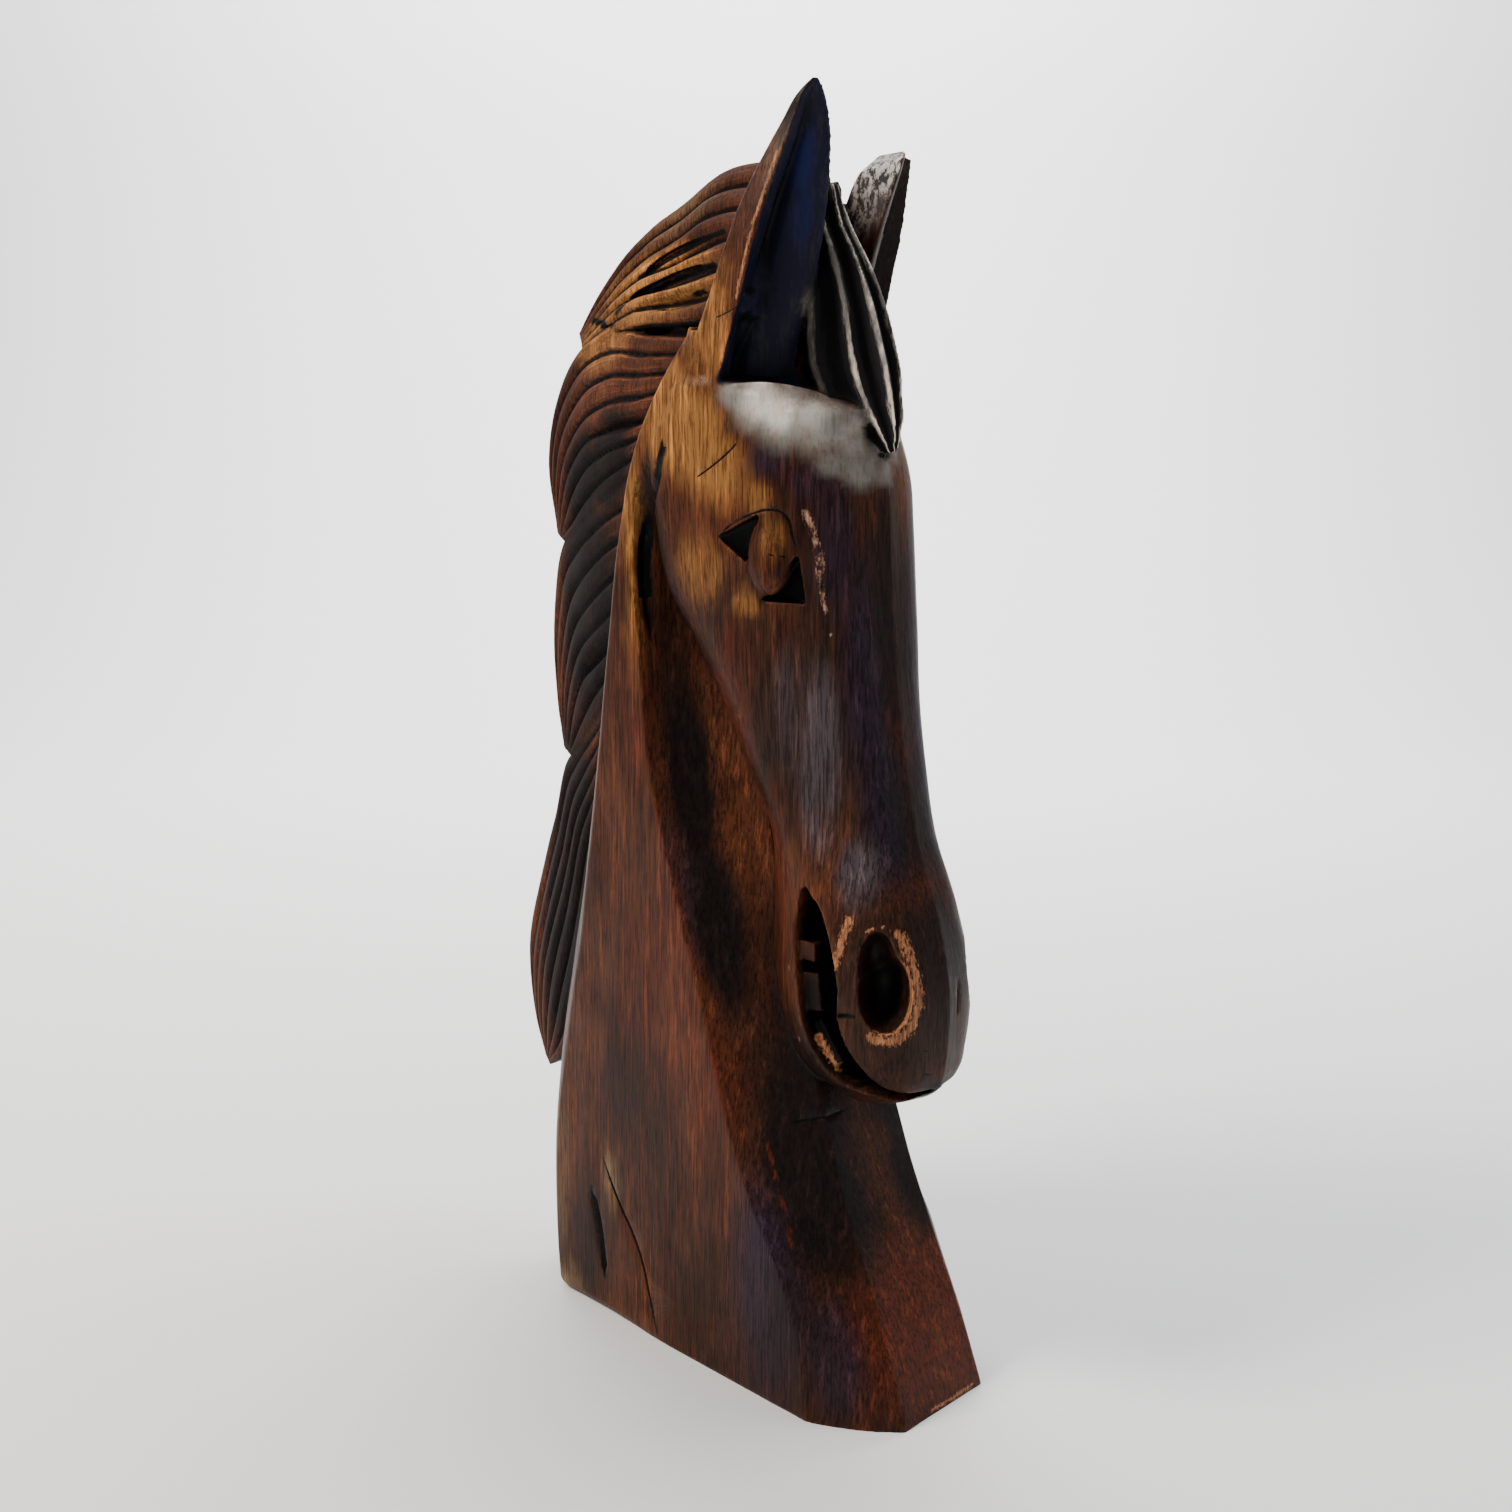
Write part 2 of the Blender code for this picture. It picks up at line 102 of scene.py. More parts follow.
# Head by height: half of each level section, as six points (x, y) from the front's middle to the back's
HEAD = (
    (144, (0, -98), (8, -96), (13, -88), (12, -79), (7, -74), (0, -73)),
    (149, (0, -112), (13, -108), (20, -92), (18, -76), (11, -68.5), (0, -67)),
    (155, (0, -121), (18, -115), (27, -97), (24, -68), (16, -58), (0, -56)),
    (161, (0, -124), (21, -118), (31, -98), (27.5, -63), (19.5, -50.5), (0, -48)),
    (171, (0, -126), (24, -118.5), (34.5, -98), (31, -60), (22, -47), (0, -44)),
    (184, (0, -127), (26, -119), (36.5, -97), (33, -58), (24, -44), (0, -41)),
    (202, (0, -127), (26.5, -119), (37, -97), (34, -57), (26, -42.5), (0, -39)),
    (238, (0, -119), (22, -113), (31.5, -92), (33.5, -60), (27, -43), (0, -37)),
    (270, (0, -107), (19, -102.5), (29, -82), (35, -54), (27, -41), (0, -33)),
    (302, (0, -100), (19, -96), (31, -74), (38.5, -42), (30, -27), (0, -16)),
    (330, (0, -95.5), (20, -91), (35, -66), (42, -30), (33, -14), (0, 0)),
    (357, (0, -92), (21.5, -88), (38.5, -60), (45, -16), (38, -1), (0, 12)),
    (382, (0, -90), (23, -85), (41, -56), (47.5, -10), (45, 9), (0, 25)),
    (412, (0, -88.5), (24, -82), (43, -54), (49, -12), (48, 14), (0, 30)),
    (432, (0, -87), (24, -80), (43.5, -53), (49.5, -13), (49.6, 16), (0, 30)),
    (450, (0, -82), (23.5, -74.5), (43, -50), (50, -14), (50.2, 16), (0, 30)),
    (466, (0, -73), (22, -67), (39, -48), (49, -24), (50, 5), (0, 22)),
    (470, (0, -56), (19, -57), (38, -47), (49, -24), (50, 4), (0, 21)),
    (474, (0, -52), (18, -48), (33, -38), (48.5, -25), (50, 1), (0, 19)),
    (478, (0, -49), (17, -42), (28, -26), (42, -20), (49, -5), (0, 16)),
    (488, (0, -42), (16, -34), (26, -18), (38, -12), (48, -8), (0, 10)),
    (500, (0, -36), (14, -28), (24, -12), (36, -8), (45, -8), (0, 5)),
)

# The forehead as it was before the forelock and ears were cut free, by height as for the head, and the ledge
# that the cut left on it, as (x, z)
BROW = (
    (452, (0, -81), (23.4, -73.5), (42.6, -50), (48.5, -14), (47, 16), (0, 29)),
    (466, (0, -73), (22, -67), (39, -48), (47.6, -24), (46, 5), (0, 22)),
    (478, (0, -63), (20, -59), (34, -50), (46.2, -28), (45, 0), (0, 18)),
)
LEDGE = (
    (0, 453), (4, 457), (8, 460), (14, 464.3), (21, 469.5), (28, 472.2), (34, 473.7), (39, 474.2),
    (44, 473.5), (49, 472.4),
)

# Ear by height, as (x, y): outer lip, bottom of the hollow, inner lip, inner flank, back, outer back edge
EAR = (
    (466, (48, -23), (20, -24), (14, -39), (13, -14), (26, 0), (46, -4)),
    (497, (48, -35.5), (23, -28), (12, -45), (11, -20), (28, -5), (48, -14)),
    (514, (46.5, -41), (24, -33), (12, -53), (10.5, -26), (28, -13), (46.5, -21)),
    (532, (45, -45.5), (25, -40), (13, -58), (10, -33), (27, -22), (45, -28)),
    (550, (42.5, -51), (26, -46.5), (14, -62.5), (10, -40), (27, -30), (42, -35)),
    (568, (38.5, -56), (27, -54), (17, -67), (12, -46), (26, -39), (38, -44)),
    (584, (34.5, -61), (27.5, -61), (20.5, -69.5), (18, -56), (27, -50), (33.5, -53)),
    (595, (32, -65), (28.5, -65.5), (25, -70), (24, -64), (28, -60), (32, -62)),
    (600, (29.5, -68), (28.5, -68.2), (27.5, -69), (27.5, -68), (28.5, -67), (29.5, -67.5)),
)

# The front of an ear between its lips: place on the way across, and share of the hollow's depth there
EAR_FRONT = (
    (0, 0), (0.12, 0.34), (0.24, 0.66), (0.27, 0.95), (0.31, 1.15), (0.35, 1.2), (0.39, 1.15), (0.43, 0.98),
    (0.47, 0.72), (0.6, 0.4), (0.73, 0.1), (0.8, 0.02), (0.9, -0.02), (1, 0),
)

# The left ear's broken end: where it is highest, as (x, y), and its fall inward and outward in degrees
EAR_TIP = (37, -60)
BREAK_SLOPES = (34, -12)
BREAK_BLOCK = 56        # size of the blocks that cut the break
EAR_POINT = 0.3         # how blunt a tip is: 0 would end it in a point
LEFT_EAR_SHIFT = (3, 13)  # how much further out than the right one it stands at its root and at its tip

# Forelock by height: front y, back y, half width
FORELOCK = (
    (562, -55, -36, 5),
    (545, -61, -38, 9),
    (528, -71.5, -42, 11.5),
    (505, -82.5, -44, 13),
    (490, -87.5, -44, 13.5),
    (478, -91, -46, 13),
    (468, -92.5, -52, 11),
    (459, -93.5, -62, 9),
    (451, -93, -74, 6),
    (443, -91.5, -84, 2.5),
)
FORELOCK_STRANDS = 6
POINTS_A_STRAND = 18    # round the forelock
FORELOCK_DEEP = 7.5     # deepest cut between two strands of the forelock, in mm
FORELOCK_SET_BACK = 0.75  # the share of a cut's depth that lies inside the table's outline
RIDGE_PLACE = 0.35      # where across a strand of the forelock its ridge runs

# The mane seen from the side, as (y, z): where it leaves the neck, and a line round all its locks
MANE_ROOT = (
    (-36, 523), (-24, 504), (-8, 489), (8, 476), (20, 458), (28, 441), (34, 424), (38, 405), (42, 383),
    (46, 356), (49, 332), (52, 308), (55, 285), (60, 255), (67, 222), (75, 180), (84, 140), (91, 108),
)
MANE_ENVELOPE = (
    (-30, 580), (14, 578), (36, 570), (72, 555), (122, 511), (149, 456), (150, 400), (148, 346), (150, 290),
    (164, 225), (177, 163), (170, 120), (157, 95),
)
MANE_LINE_POINTS = 150  # how finely these two lines are read
MANE_HALF_WIDTH = 38
MANE_CREST_HALF = 2.5
MANE_TAPER = 1.5        # 1 would make the mane a plain wedge, more keeps it full until near the crest
CORE_REACH = (0, 0.02, 0.3, 0.58)  # where the mane's core has points on the way from root to envelope
CORE_INSIDE = 0.12      # how far the core goes on into the neck, as a share of that way
CORE_UNDER = 3          # how far it lies under the mane's surface

# Each lock of the mane as (y, z): its upper edge, its lower edge, and how many strands it is cut into
LOCKS = (
    (((-40, 571), (-14, 577), (14, 574.5), (32, 566), (61, 555), (93, 533), (115, 507)),
     ((-36, 503), (0, 502), (50, 504), (105, 497)), 6),
    (((-18, 496), (30, 500), (83, 506), (117, 499), (142, 473), (147, 446), (127, 404)),
     ((28, 441), (62, 421), (95, 406), (117, 401)), 7),
    (((30, 439), (75, 424), (105, 411), (123, 401), (141, 374), (147, 346), (138, 316), (116, 290)),
     ((50, 330), (76, 305), (96, 292), (105, 288)), 7),
    (((50, 328), (80, 308), (104, 293), (118, 284), (136, 250), (161, 207), (174, 166), (167, 130),
      (143, 110)),
     ((55, 290), (66, 225), (78, 168), (98, 130), (128, 110)), 7),
)

# Cuts that open wide near the ear: lock, cut between strands, and where along the lock it starts and ends
WIDE_CUTS = ((0, 3, 0.0, 0.6), (0, 4, 0.0, 0.7), (0, 5, 0.05, 0.6), (1, 4, 0.0, 0.5), (2, 5, 0.05, 0.5))

LOCK_POINTS = 14        # across each strand of the mane
STRAND_FORM = 3.6       # how square a strand of the mane is: 1 would make it a plain ridge
WIDE_CUT_EASES = 2.3    # how much less square the strands are in the middle of a wide cut
WIDE_CUT_DEEPER = 3.5   # and how much deeper it is there
WIDE_CUT_FORM = 0.7     # how it closes towards its ends: less keeps it open for longer
STRAND_TILT = 0.7       # rise across a strand, as in overlapping laths
STRAND_WANDER = 0.012   # how far the strands stray from a straight division, as a share of the lock
STRAND_WAVES = (5, 9)   # how fast that changes along and across the lock, in radians
LOCK_PROUD = (2.1, 2.0)  # how far a lock stands out at the neck, and how much more at its tip

# The mouth's opening on the cheek, from its corner to the front: x of the skin, rear and front edge (y, z)
MOUTH = (
    (34.5, (-67, 247), (-70, 248)),
    (34, (-63, 233), (-79, 239)),
    (35.5, (-63, 216), (-88, 222)),
    (37, (-66, 200), (-93.5, 205)),
    (37, (-69, 183), (-94, 190)),
    (35, (-76, 171), (-98, 178)),
    (32, (-83, 162), (-104, 169)),
    (27, (-93, 157), (-110, 161.5)),
    (20, (-104, 154), (-117, 158)),
    (12, (-112, 151), (-124, 157)),
)
MOUTH_FLARE = 12        # how far the cutter stands out of the skin
MOUTH_APART = 2         # how far from the middle plane it ends at least

# Block teeth inside the mouth: middle (x, y, z), size (x, y, z) and lean forward in degrees
TEETH = (
    ((22.5, -67, 217), (20, 14, 9), 0),
    ((22.5, -69.5, 198), (20, 16, 18), -8),
    ((19, -76.5, 173), (20, 13, 22), -38),
)

# The three-cornered cuts before and behind an eye: (x, y, z) of each corner and its share of the depth
EYE_CUTS = (
    (((48, -27, 406), 0.1), ((44, -50, 417), 1), ((45.5, -44, 394), 1)),
    (((37, -66.5, 399), 1), ((35, -69.5, 377), 0.7), ((44, -50, 378), 1)),
)
EYE_OUTWARD = (0.9, -0.42, 0)
EYE_CUT_FLARE = 7       # how far each cutter stands out of the skin

# Rounded swellings and hollows on the left: middle, half sizes, and the way the second half size points
EYEBALL = ((39.5, -52, 398), (10.5, 6.5, 18), (0.93, -0.36, 0.05))
NOSTRIL_RIM = ((26.5, -107, 208), (12, 6, 24), (0.8, -0.6, 0))
NOSTRIL_LOW = ((31, -115, 205.5), (12.3, 22, 18.5), (0.75, -0.66, 0))
NOSTRIL_TOP = ((33.5, -112.5, 218), (9, 21, 16), (0.75, -0.66, 0))

PATH_POINTS = 60        # how finely a groove's or mark's path is read
GROOVE_ENDS = 0.125     # the share of its length in which a groove grows from either end
GROOVE_END_SHARE = 0.25 # how wide and deep it starts there
STERN_WEAR = (7, 4.5)   # height and depth of the wear along the foot's lower edge at the back
STERN_WEARS = (0, 75)   # from where to where along y it grows
STERN_MIDDLE = 45       # it goes in towards this y of the middle plane, or straight in where y is less
STERN_LEAST = 40        # nearer to it than this, it eases off
WAVES = (55, 55, 22)    # how often the knife's unevenness comes and goes in a metre along x, y and z
WAVE_HEIGHT = 0.35
FOOT_FLATNESS = 0.0007  # points lower than this, in metres, are put level on the floor
EAR_ROOT = ((-49, -16, 473.5), (8, 24, 9))  # where an ear's root is smoothed
EAR_ROOT_ROUNDS = 30

# Fine carving and wear on the photographed side: paths (x, y, z) on the skin
LID = ((-47.1, -27.3, 406.3), (-47.5, -33.3, 410.5), (-47, -39.2, 413.6), (-45.3, -46.3, 416.4),
       (-43, -54.1, 418.2), (-40.6, -59.1, 417.5), (-39, -62.5, 414.3), (-38.2, -64.2, 407.7),
       (-37.3, -65.8, 401.6))
CHEEK_GROOVE = ((-51.2, 5.9, 445.1), (-49.7, 11.9, 431.5), (-46, 20, 417.5), (-44.6, 25, 403.3),
                (-44.6, 26.8, 396.2), (-45.3, 25.5, 379.6), (-44.8, 23.5, 365.3), (-44.8, 22.2, 355.7))
CRESCENTS = (
    ((-18.2, 56.1, 529.9), (-20.8, 40.6, 535.2), (-23.6, 16.4, 539.9), (-29.5, -10, 542)),
    ((-23.1, 67.9, 514.7), (-22, 50.4, 521.5), (-26.7, 20, 525.9), (-31.8, -6, 527.3)),
    ((-31, 28.4, 509.5), (-32.9, 13.5, 512.5), (-35.1, -4, 515.7)),
)
UNDER_LOCK = ((-14, 97.6, 512.2), (-24, 60.9, 504.5), (-26, 36.9, 503.4), (-34, 2.6, 503.3))
CHEEK_CRACK = ((-49.6, -15.3, 432.7), (-48.9, -24.5, 437.6), (-47.9, -33.8, 443.6), (-46.2, -39.7, 448.8))
EAR_CRACK = ((-47.6, -26.7, 502.6), (-47.4, -32.9, 504.3), (-46.5, -38.3, 506.1))
GOUGE = ((-54.5, 63.3, 64.7), (-54.5, 60.2, 54.6), (-54.6, 57.1, 41.7), (-54.7, 55, 27.4),
         (-54.7, 53.5, 20.6))
LONG_CRACK = ((-54.3, 54, 85.8), (-54.4, 47, 72.7), (-54.5, 39.2, 61.6), (-54.6, 31.4, 51.7),
              (-54.7, 23.8, 38.5), (-54.7, 17.9, 20), (-54.7, 12.8, 4.4))
MUZZLE_CRACK = ((9.5, -123.8, 207.5), (8.5, -125.4, 198.6), (8.1, -125.3, 188.7))
CHIN_LINE = ((-33.8, -63.4, 132.9), (-26.2, -72.3, 135.2), (-10.4, -74, 135.2))
LIP_NOTCH = ((-37.6, -93.3, 193), (-35.9, -100.2, 194))
# Grooves carved on both sides, and cracks on the photographed one: path, half width, depth
BOTH_SIDES = (
    (LID, 1.0, 1.1), (CHEEK_GROOVE, 4.4, 3.0), (UNDER_LOCK, 2.0, 3.0),
    (CRESCENTS[0], 2.4, 3.6), (CRESCENTS[1], 2.8, 4.5), (CRESCENTS[2], 2.4, 3.6),
)
ONE_SIDE = (
    (CHEEK_CRACK, 0.9, 0.8), (EAR_CRACK, 0.8, 0.7), (GOUGE, 3.2, 2.6), (LONG_CRACK, 1.1, 1.4),
    (MUZZLE_CRACK, 0.9, 1.0), (CHIN_LINE, 1.0, 1.0), (LIP_NOTCH, 1.3, 2.0),
)

# Painted shade in cuts and hollows, and wear on ridges, that follow the relief: rounds that level it for
# comparison, sign (1 where the surface lies lower than the levelled one, -1 where higher), from how many mm
# it shows, and how many more make it full
RELIEFS = {"cut": (12, 1, 0.12, 0.7), "hollow": (110, 1, 0.3, 2.2), "ridge": (12, -1, 0.15, 0.5)}
HAIR_EDGE = (-3.5, -1.5)  # the hair's looks fade where its strands lie so deep under the skin, in mm

# Where the wood shows other tones, of the stain and of painted light and shade: soft patches as middle x, y,
# z, half sizes x, y, z, and strength. Those whose x lies between the first two numbers are on both sides, but
# not the forehead's painted sheen and glare. That leaves out the left ear's, and those of wear on the
# photographed side
PATCH_FULL = 0.35       # share of its size within which a patch is at full strength
BOTH_SIDED, AS_LISTED = (-53, 10), ("grey sheen", "glare")
ZONES = {
    "umber": (
        (-44, -30, 365, 18, 34, 46, 0.75), (-38, -50, 310, 20, 34, 70, 0.95),
        (-30, -84, 340, 22, 34, 90, 1), (-8, -100, 310, 34, 34, 140, 1),
        (-14, -112, 205, 50, 50, 80, 1), (-28, -80, 165, 30, 60, 44, 1),
        (-14, -60, 160, 40, 60, 40, 0.8),
    ),
    # Amber: lighter worn wood, and painted light on the upper parts where the light falls: cheek, neck ridge,
    # top lock
    "amber": (
        (-49, -4, 456, 16, 34, 30, 1), (-50, -26, 436, 14, 26, 22, 0.9), (-51, 30, 420, 8, 10, 40, 0.9),
        (-51, 27, 360, 6, 9, 50, 0.55), (-48, -14, 392, 12, 20, 22, 0.6), (-45, -42, 376, 8, 10, 9, 0.6),
        (-24, 34, 522, 34, 74, 26, 1), (-20, 80, 500, 24, 44, 22, 0.7), (-42, -56, 405, 8, 8, 14, 0.4),
        (-48, -20, 500, 8, 20, 44, 0.55), (-48, 4, 474, 10, 20, 16, 0.9), (-46, -48, 424, 10, 12, 10, 0.6),
    ),
    "tan": (
        (-48, 88, 60, 10, 12, 90, 0.9), (-54, 48, 76, 6, 9, 22, 0.7), (-38, -56, 565, 10, 12, 34, 0.5),
        (-14, 50, 560, 30, 60, 22, 0.5), (-52, 84, 8, 14, 20, 12, 0.8),
    ),
    # Painted bluish-purple shade on the face's front, round the eye, on the neck's side and on the foot
    "purple shade": (
        (-27, -80, 402, 12, 18, 44, 0.9), (-18, -92, 350, 15, 16, 80, 1),
        (-15, -101, 290, 15, 16, 80, 1), (-40, -52, 440, 12, 14, 12, 0.9),
        (-30, -70, 430, 16, 16, 14, 0.8), (-44, -98, 30, 14, 26, 40, 0.9), (-52, -66, 56, 14, 36, 90, 0.9),
        (-44, -10, 240, 12, 18, 80, 0.7), (-50, 2, 280, 8, 10, 60, 0.5), (-44, 8, 350, 12, 12, 60, 0.6),
        (-44, -70, 90, 12, 24, 60, 0.7),
    ),
    # Painted purple-grey sheen on the lower face
    "purple sheen": (
        (-31, -75, 306, 9, 16, 60, 0.9), (-24, -94, 256, 16, 16, 22, 0.8), (-36, -60, 330, 8, 14, 40, 0.4),
    ),
    # Darker wood and painted shade: in the throat, under the head, down the face's front, on the mane's back
    # locks and in the left ear's hollow
    "dark": (
        (-38, 2, 300, 14, 26, 110, 1), (-40, -20, 215, 14, 30, 90, 1), (-30, -66, 130, 36, 34, 70, 1),
        (-30, -84, 95, 34, 34, 60, 1), (-4, -122, 225, 26, 16, 50, 0.5), (-32, 84, 366, 40, 66, 96, 1),
        (-32, 106, 220, 34, 64, 150, 1), (-26, 90, 430, 26, 40, 44, 1), (-36, 60, 440, 18, 34, 40, 1),
        (42, -36, 532, 40, 64, 104, 1), (2, -94, 380, 20, 14, 110, 0.75),
        (3, -104, 290, 20, 16, 110, 0.55), (-34, -62, 592, 14, 16, 26, 1), (-54, 66, 40, 8, 22, 50, 0.75),
        (-44, -52, 286, 14, 10, 40, 0.4), (-50, 16, 486, 12, 16, 10, 0.5), (-46, 18, 405, 9, 14, 56, 0.8),
        (-46, -60, 10, 14, 60, 12, 0.5), (-52, -84, 40, 14, 26, 70, 0.5),
    ),
    "red": (
        (8, -112, 36, 50, 36, 60, 0.9), (-52, 10, 190, 10, 40, 60, 0.5), (-40, -30, 330, 12, 20, 45, 0.5),
        (8, -100, 320, 12, 16, 50, 0.6), (-54, 37, 47, 4, 5, 10, 1), (-52, -30, 150, 12, 34, 50, 0.5),
        (-52, 25, 330, 10, 16, 60, 0.5), (-42, -34, 352, 9, 14, 30, 0.7), (-36, -52, 256, 10, 12, 60, 0.5),
        (-10, -112, 250, 14, 14, 30, 0.4),
    ),
    # Painted sheen on the forehead and on the ears' inner lips
    "grey sheen": (
        (-45, -36, 469, 10, 12, 10, 0.8), (-42, -45, 465, 12, 16, 18, 1),
        (-36, -57, 460, 18, 18, 22, 1), (-26, -69, 455, 20, 16, 20, 1),
        (-14, -78, 449, 18, 14, 19, 0.95), (-4, -82, 447, 14, 12, 14, 0.9),
        (-14, -83, 435, 14, 12, 11, 0.8), (-25, -77, 439, 12, 12, 9, 0.65), (-3, -86, 436, 11, 10, 10, 0.7),
        (8, -82, 447, 9, 10, 12, 0.6), (13, -48, 548, 6, 12, 26, 0.8), (-13, -48, 548, 6, 12, 26, 0.8),
    ),
    # Painted glare on the forehead
    "glare": (
        (-41, -48, 466, 10, 14, 12, 0.8), (-37, -56, 461, 8, 10, 12, 0.85),
        (-28, -66, 458, 10, 10, 10, 0.35), (-14, -78, 450, 10, 8, 9, 0.2),
    ),
    "hacked": (
        (36, -54, 574, 30, 30, 26, 1), (34, -40, 556, 20, 30, 30, 0.8),
    ),
}
# Painted black shade inside the nostrils and the mouth
INSIDE_NOSTRIL = (((19, -104, 208), (12, 13, 17)), ((19, -104, 200), (12, 12, 14)))
MOUTH_DARKENS = (1.2, 5.5)  # how far in from the skin the inside of the mouth starts and ends turning black
MOUTH_DARK_PAST = (4, 1, 0.12)  # how far it is black past its lower end, its corner and, by share, its lips
# The painted black shade in the eye cuts, from nothing to full: off the eyeball, as a share of its size; in
# from a cut's edge, as a share of the cut; and down into it, in mm
EYE_BLACK_OFF_BALL, EYE_BLACK_EDGE, EYE_BLACK_DEEP = (1.02, 1.12), (-0.06, 0.02), (0.2, 1.0)
# The right ear's painted navy shade, from nothing to full, in mm: in from its outer lip, ahead of its
# hollow's floor (less than 0 is behind it), above the ledge; and by how far the skin faces forward. It ends
# at an inner x
EAR_TONE_LIP, EAR_TONE_FLOOR, EAR_TONE_LEDGE = (0.2, 1.4), (-7, -4), (-0.6, 0.6)
EAR_TONE_FACING, EAR_TONE_INNER = (-0.45, -0.1), -12
EAR_LEVELS = 60         # at which the ear's form is read for this
# Painted blue reflection in the right ear's hollow
BLUE_REFLECTION = ((-25, -58, 568, 4.2, 12, 20, 1), (-22, -53, 548, 4, 12, 24, 0.7))  # in the right ear's hollow

# Thin marks on the skin: more paths, then each mark's tone, half width and path
NOSTRIL_EDGE = ((-20.8, -115, 230), (-18.6, -117.8, 222.5), (-17.2, -119.8, 213.5), (-16.6, -121.3, 203.5),
                (-18.4, -121.8, 194.6), (-22.6, -120.6, 188), (-27.8, -116.2, 184.2), (-31.8, -110.4, 184.6))
LIP_STREAK = ((-35.7, -90.1, 217.1), (-34.1, -91.6, 225), (-32.4, -93, 232.8), (-30.8, -94.5, 238.8))
EAR_LIP = ((-38, -54, 570), (-40.5, -51.5, 560), (-43, -48.5, 549), (-44.5, -45, 538), (-46, -41.5, 525),
           (-47, -38, 511))
MARK_TONES = {"red": 0.9, "bare": 1.3, "pale": 1.5, "black": 0.3}     # each tone's raggedness
MARKS = (
    ("black", 0.5, LID),
    ("black", 0.45, ((-44.6, -44.2, 399.5), (-44.7, -55.7, 398.6), (-38.8, -62.4, 397.5))),
    ("black", 0.5, CHEEK_CRACK), ("black", 0.4, EAR_CRACK), ("black", 0.8, LONG_CRACK),
    ("black", 0.6, MUZZLE_CRACK), ("black", 0.7, CHIN_LINE), ("black", 1.2, LIP_NOTCH),
    ("black", 0.6, ((-17.1, -122.6, 179.1), (-10, -124.4, 177.3))),
    ("black", 0.6, ((-14.2, -122.2, 167.4), (-8.5, -123.4, 165.3))),
    # Painted shadow along the cheek groove, under lock 1 and in lock 1's crescents; black along the gouge
    ("black", 3.2, CHEEK_GROOVE[:6]), ("black", 1.9, GOUGE), ("black", 2.2, UNDER_LOCK),
    ("black", 1.9, CRESCENTS[0]), ("black", 2.4, CRESCENTS[1]), ("black", 1.9, CRESCENTS[2]),
    ("bare", 2.6, NOSTRIL_EDGE), ("bare", 2.2, LIP_STREAK), ("bare", 1.0, EAR_LIP),
    ("bare", 0.7, ((-29.4, -102.6, 232.6), (-26.4, -108.2, 235), (-22.6, -112.6, 233.2))),
    ("bare", 1.0, ((-8, -128, 2), (20, -128, 2), (34, -122, 2))),
    ("bare", 1.9, ((-31, -76, 176), (-29, -81, 169), (-27, -88, 162))),
    ("pale", 1.7, ((-34.7, -69.9, 416.5), (-33.4, -71.8, 409.5), (-31.9, -74.1, 400.8), (-31, -75.7, 393.4))),
    ("pale", 1.2, ((-31.6, -75.1, 387.7), (-30.1, -77.4, 374.5), (-28.4, -80.2, 362.2))),
    ("red", 1.6, ((-43.9, -53.5, 125), (-43.7, -59.8, 110.9), (-44.6, -66, 95.7), (-46.2, -72.8, 79.6))),
    ("red", 3.0, ((-54.5, 40, 66), (-54.6, 35.5, 57), (-54.6, 33, 50))),
    ("pale", 0.6, ((-53.1, -75.6, 63.6), (-51.8, -79.5, 58.1))),
    ("pale", 1.3, ((-34, -60.4, 208.5), (-34.4, -61, 205.5))),
    ("pale", 1.1, ((-34.3, -65.6, 177.5), (-34.2, -66.4, 175))),
)
MARK_REACH = 8          # how far from a mark its distance is kept, in mm

# Tones of the stained wood and of the light and shade painted on it, as linear red, green and blue
TONES = {
    "stain": (0.034, 0.0105, 0.0048), "light stain": (0.114, 0.0345, 0.0128),
    "umber": (0.030, 0.0125, 0.0075), "amber": (0.275, 0.118, 0.032), "tan": (0.15, 0.088, 0.042),
    "purple shade": (0.026, 0.0145, 0.025), "purple sheen": (0.065, 0.050, 0.055), "dark": (0.0085, 0.0045, 0.0036),
    "red": (0.085, 0.017, 0.007), "grey sheen": (0.265, 0.255, 0.225), "glare": (0.86, 0.81, 0.74),
    "ear_shade": (0.0100, 0.0108, 0.0250), "streaked ear_shade": (0.021, 0.020, 0.030), "blue_reflection": (0.013, 0.018, 0.080),
    "hacked": (0.62, 0.57, 0.52), "between hacks": (0.020, 0.018, 0.018),
    # Painted near-black shade over the forelock, and painted highlights on its ridges
    "forelock": (0.010, 0.009, 0.010), "ridge": (0.19, 0.175, 0.16), "bright ridge highlight": (0.50, 0.44, 0.37),
    # Painted shade darkening hollows, and black for painted shade in cuts and for cracks
    "hollow": (0.0025, 0.002, 0.0025), "black": (0.0012, 0.0010, 0.0012), "bare": (0.46, 0.19, 0.085),
    "pale": (0.46, 0.25, 0.16),
}
# The wood's noise: how far it is drawn out along x, y and z (less is longer), scale, detail, roughness
NOISES = {
    "cloudy": ((1, 1, 0.45), 16, 4, 0.55), "broken": ((1, 1, 0.35), 70, 6, 0.7),
    "fine": ((1, 1, 0.06), 850, 5, 0.7), "streaks": ((1, 1, 0.05), 280, 6, 0.72),
    "mottled": ((1, 1, 0.7), 95, 5, 0.6), "hacked": ((1, 1, 0.5), 330, 6, 0.75),
    "crumbs": ((1, 1, 0.4), 900, 5, 0.75),
    "hair": ((9, 0.45, 1), 1.0, 6, 0.75),  # x across the strands and y along them
}
SOFT_ZONES = ("umber", "purple shade", "dark")  # those whose edges are clouded, not torn

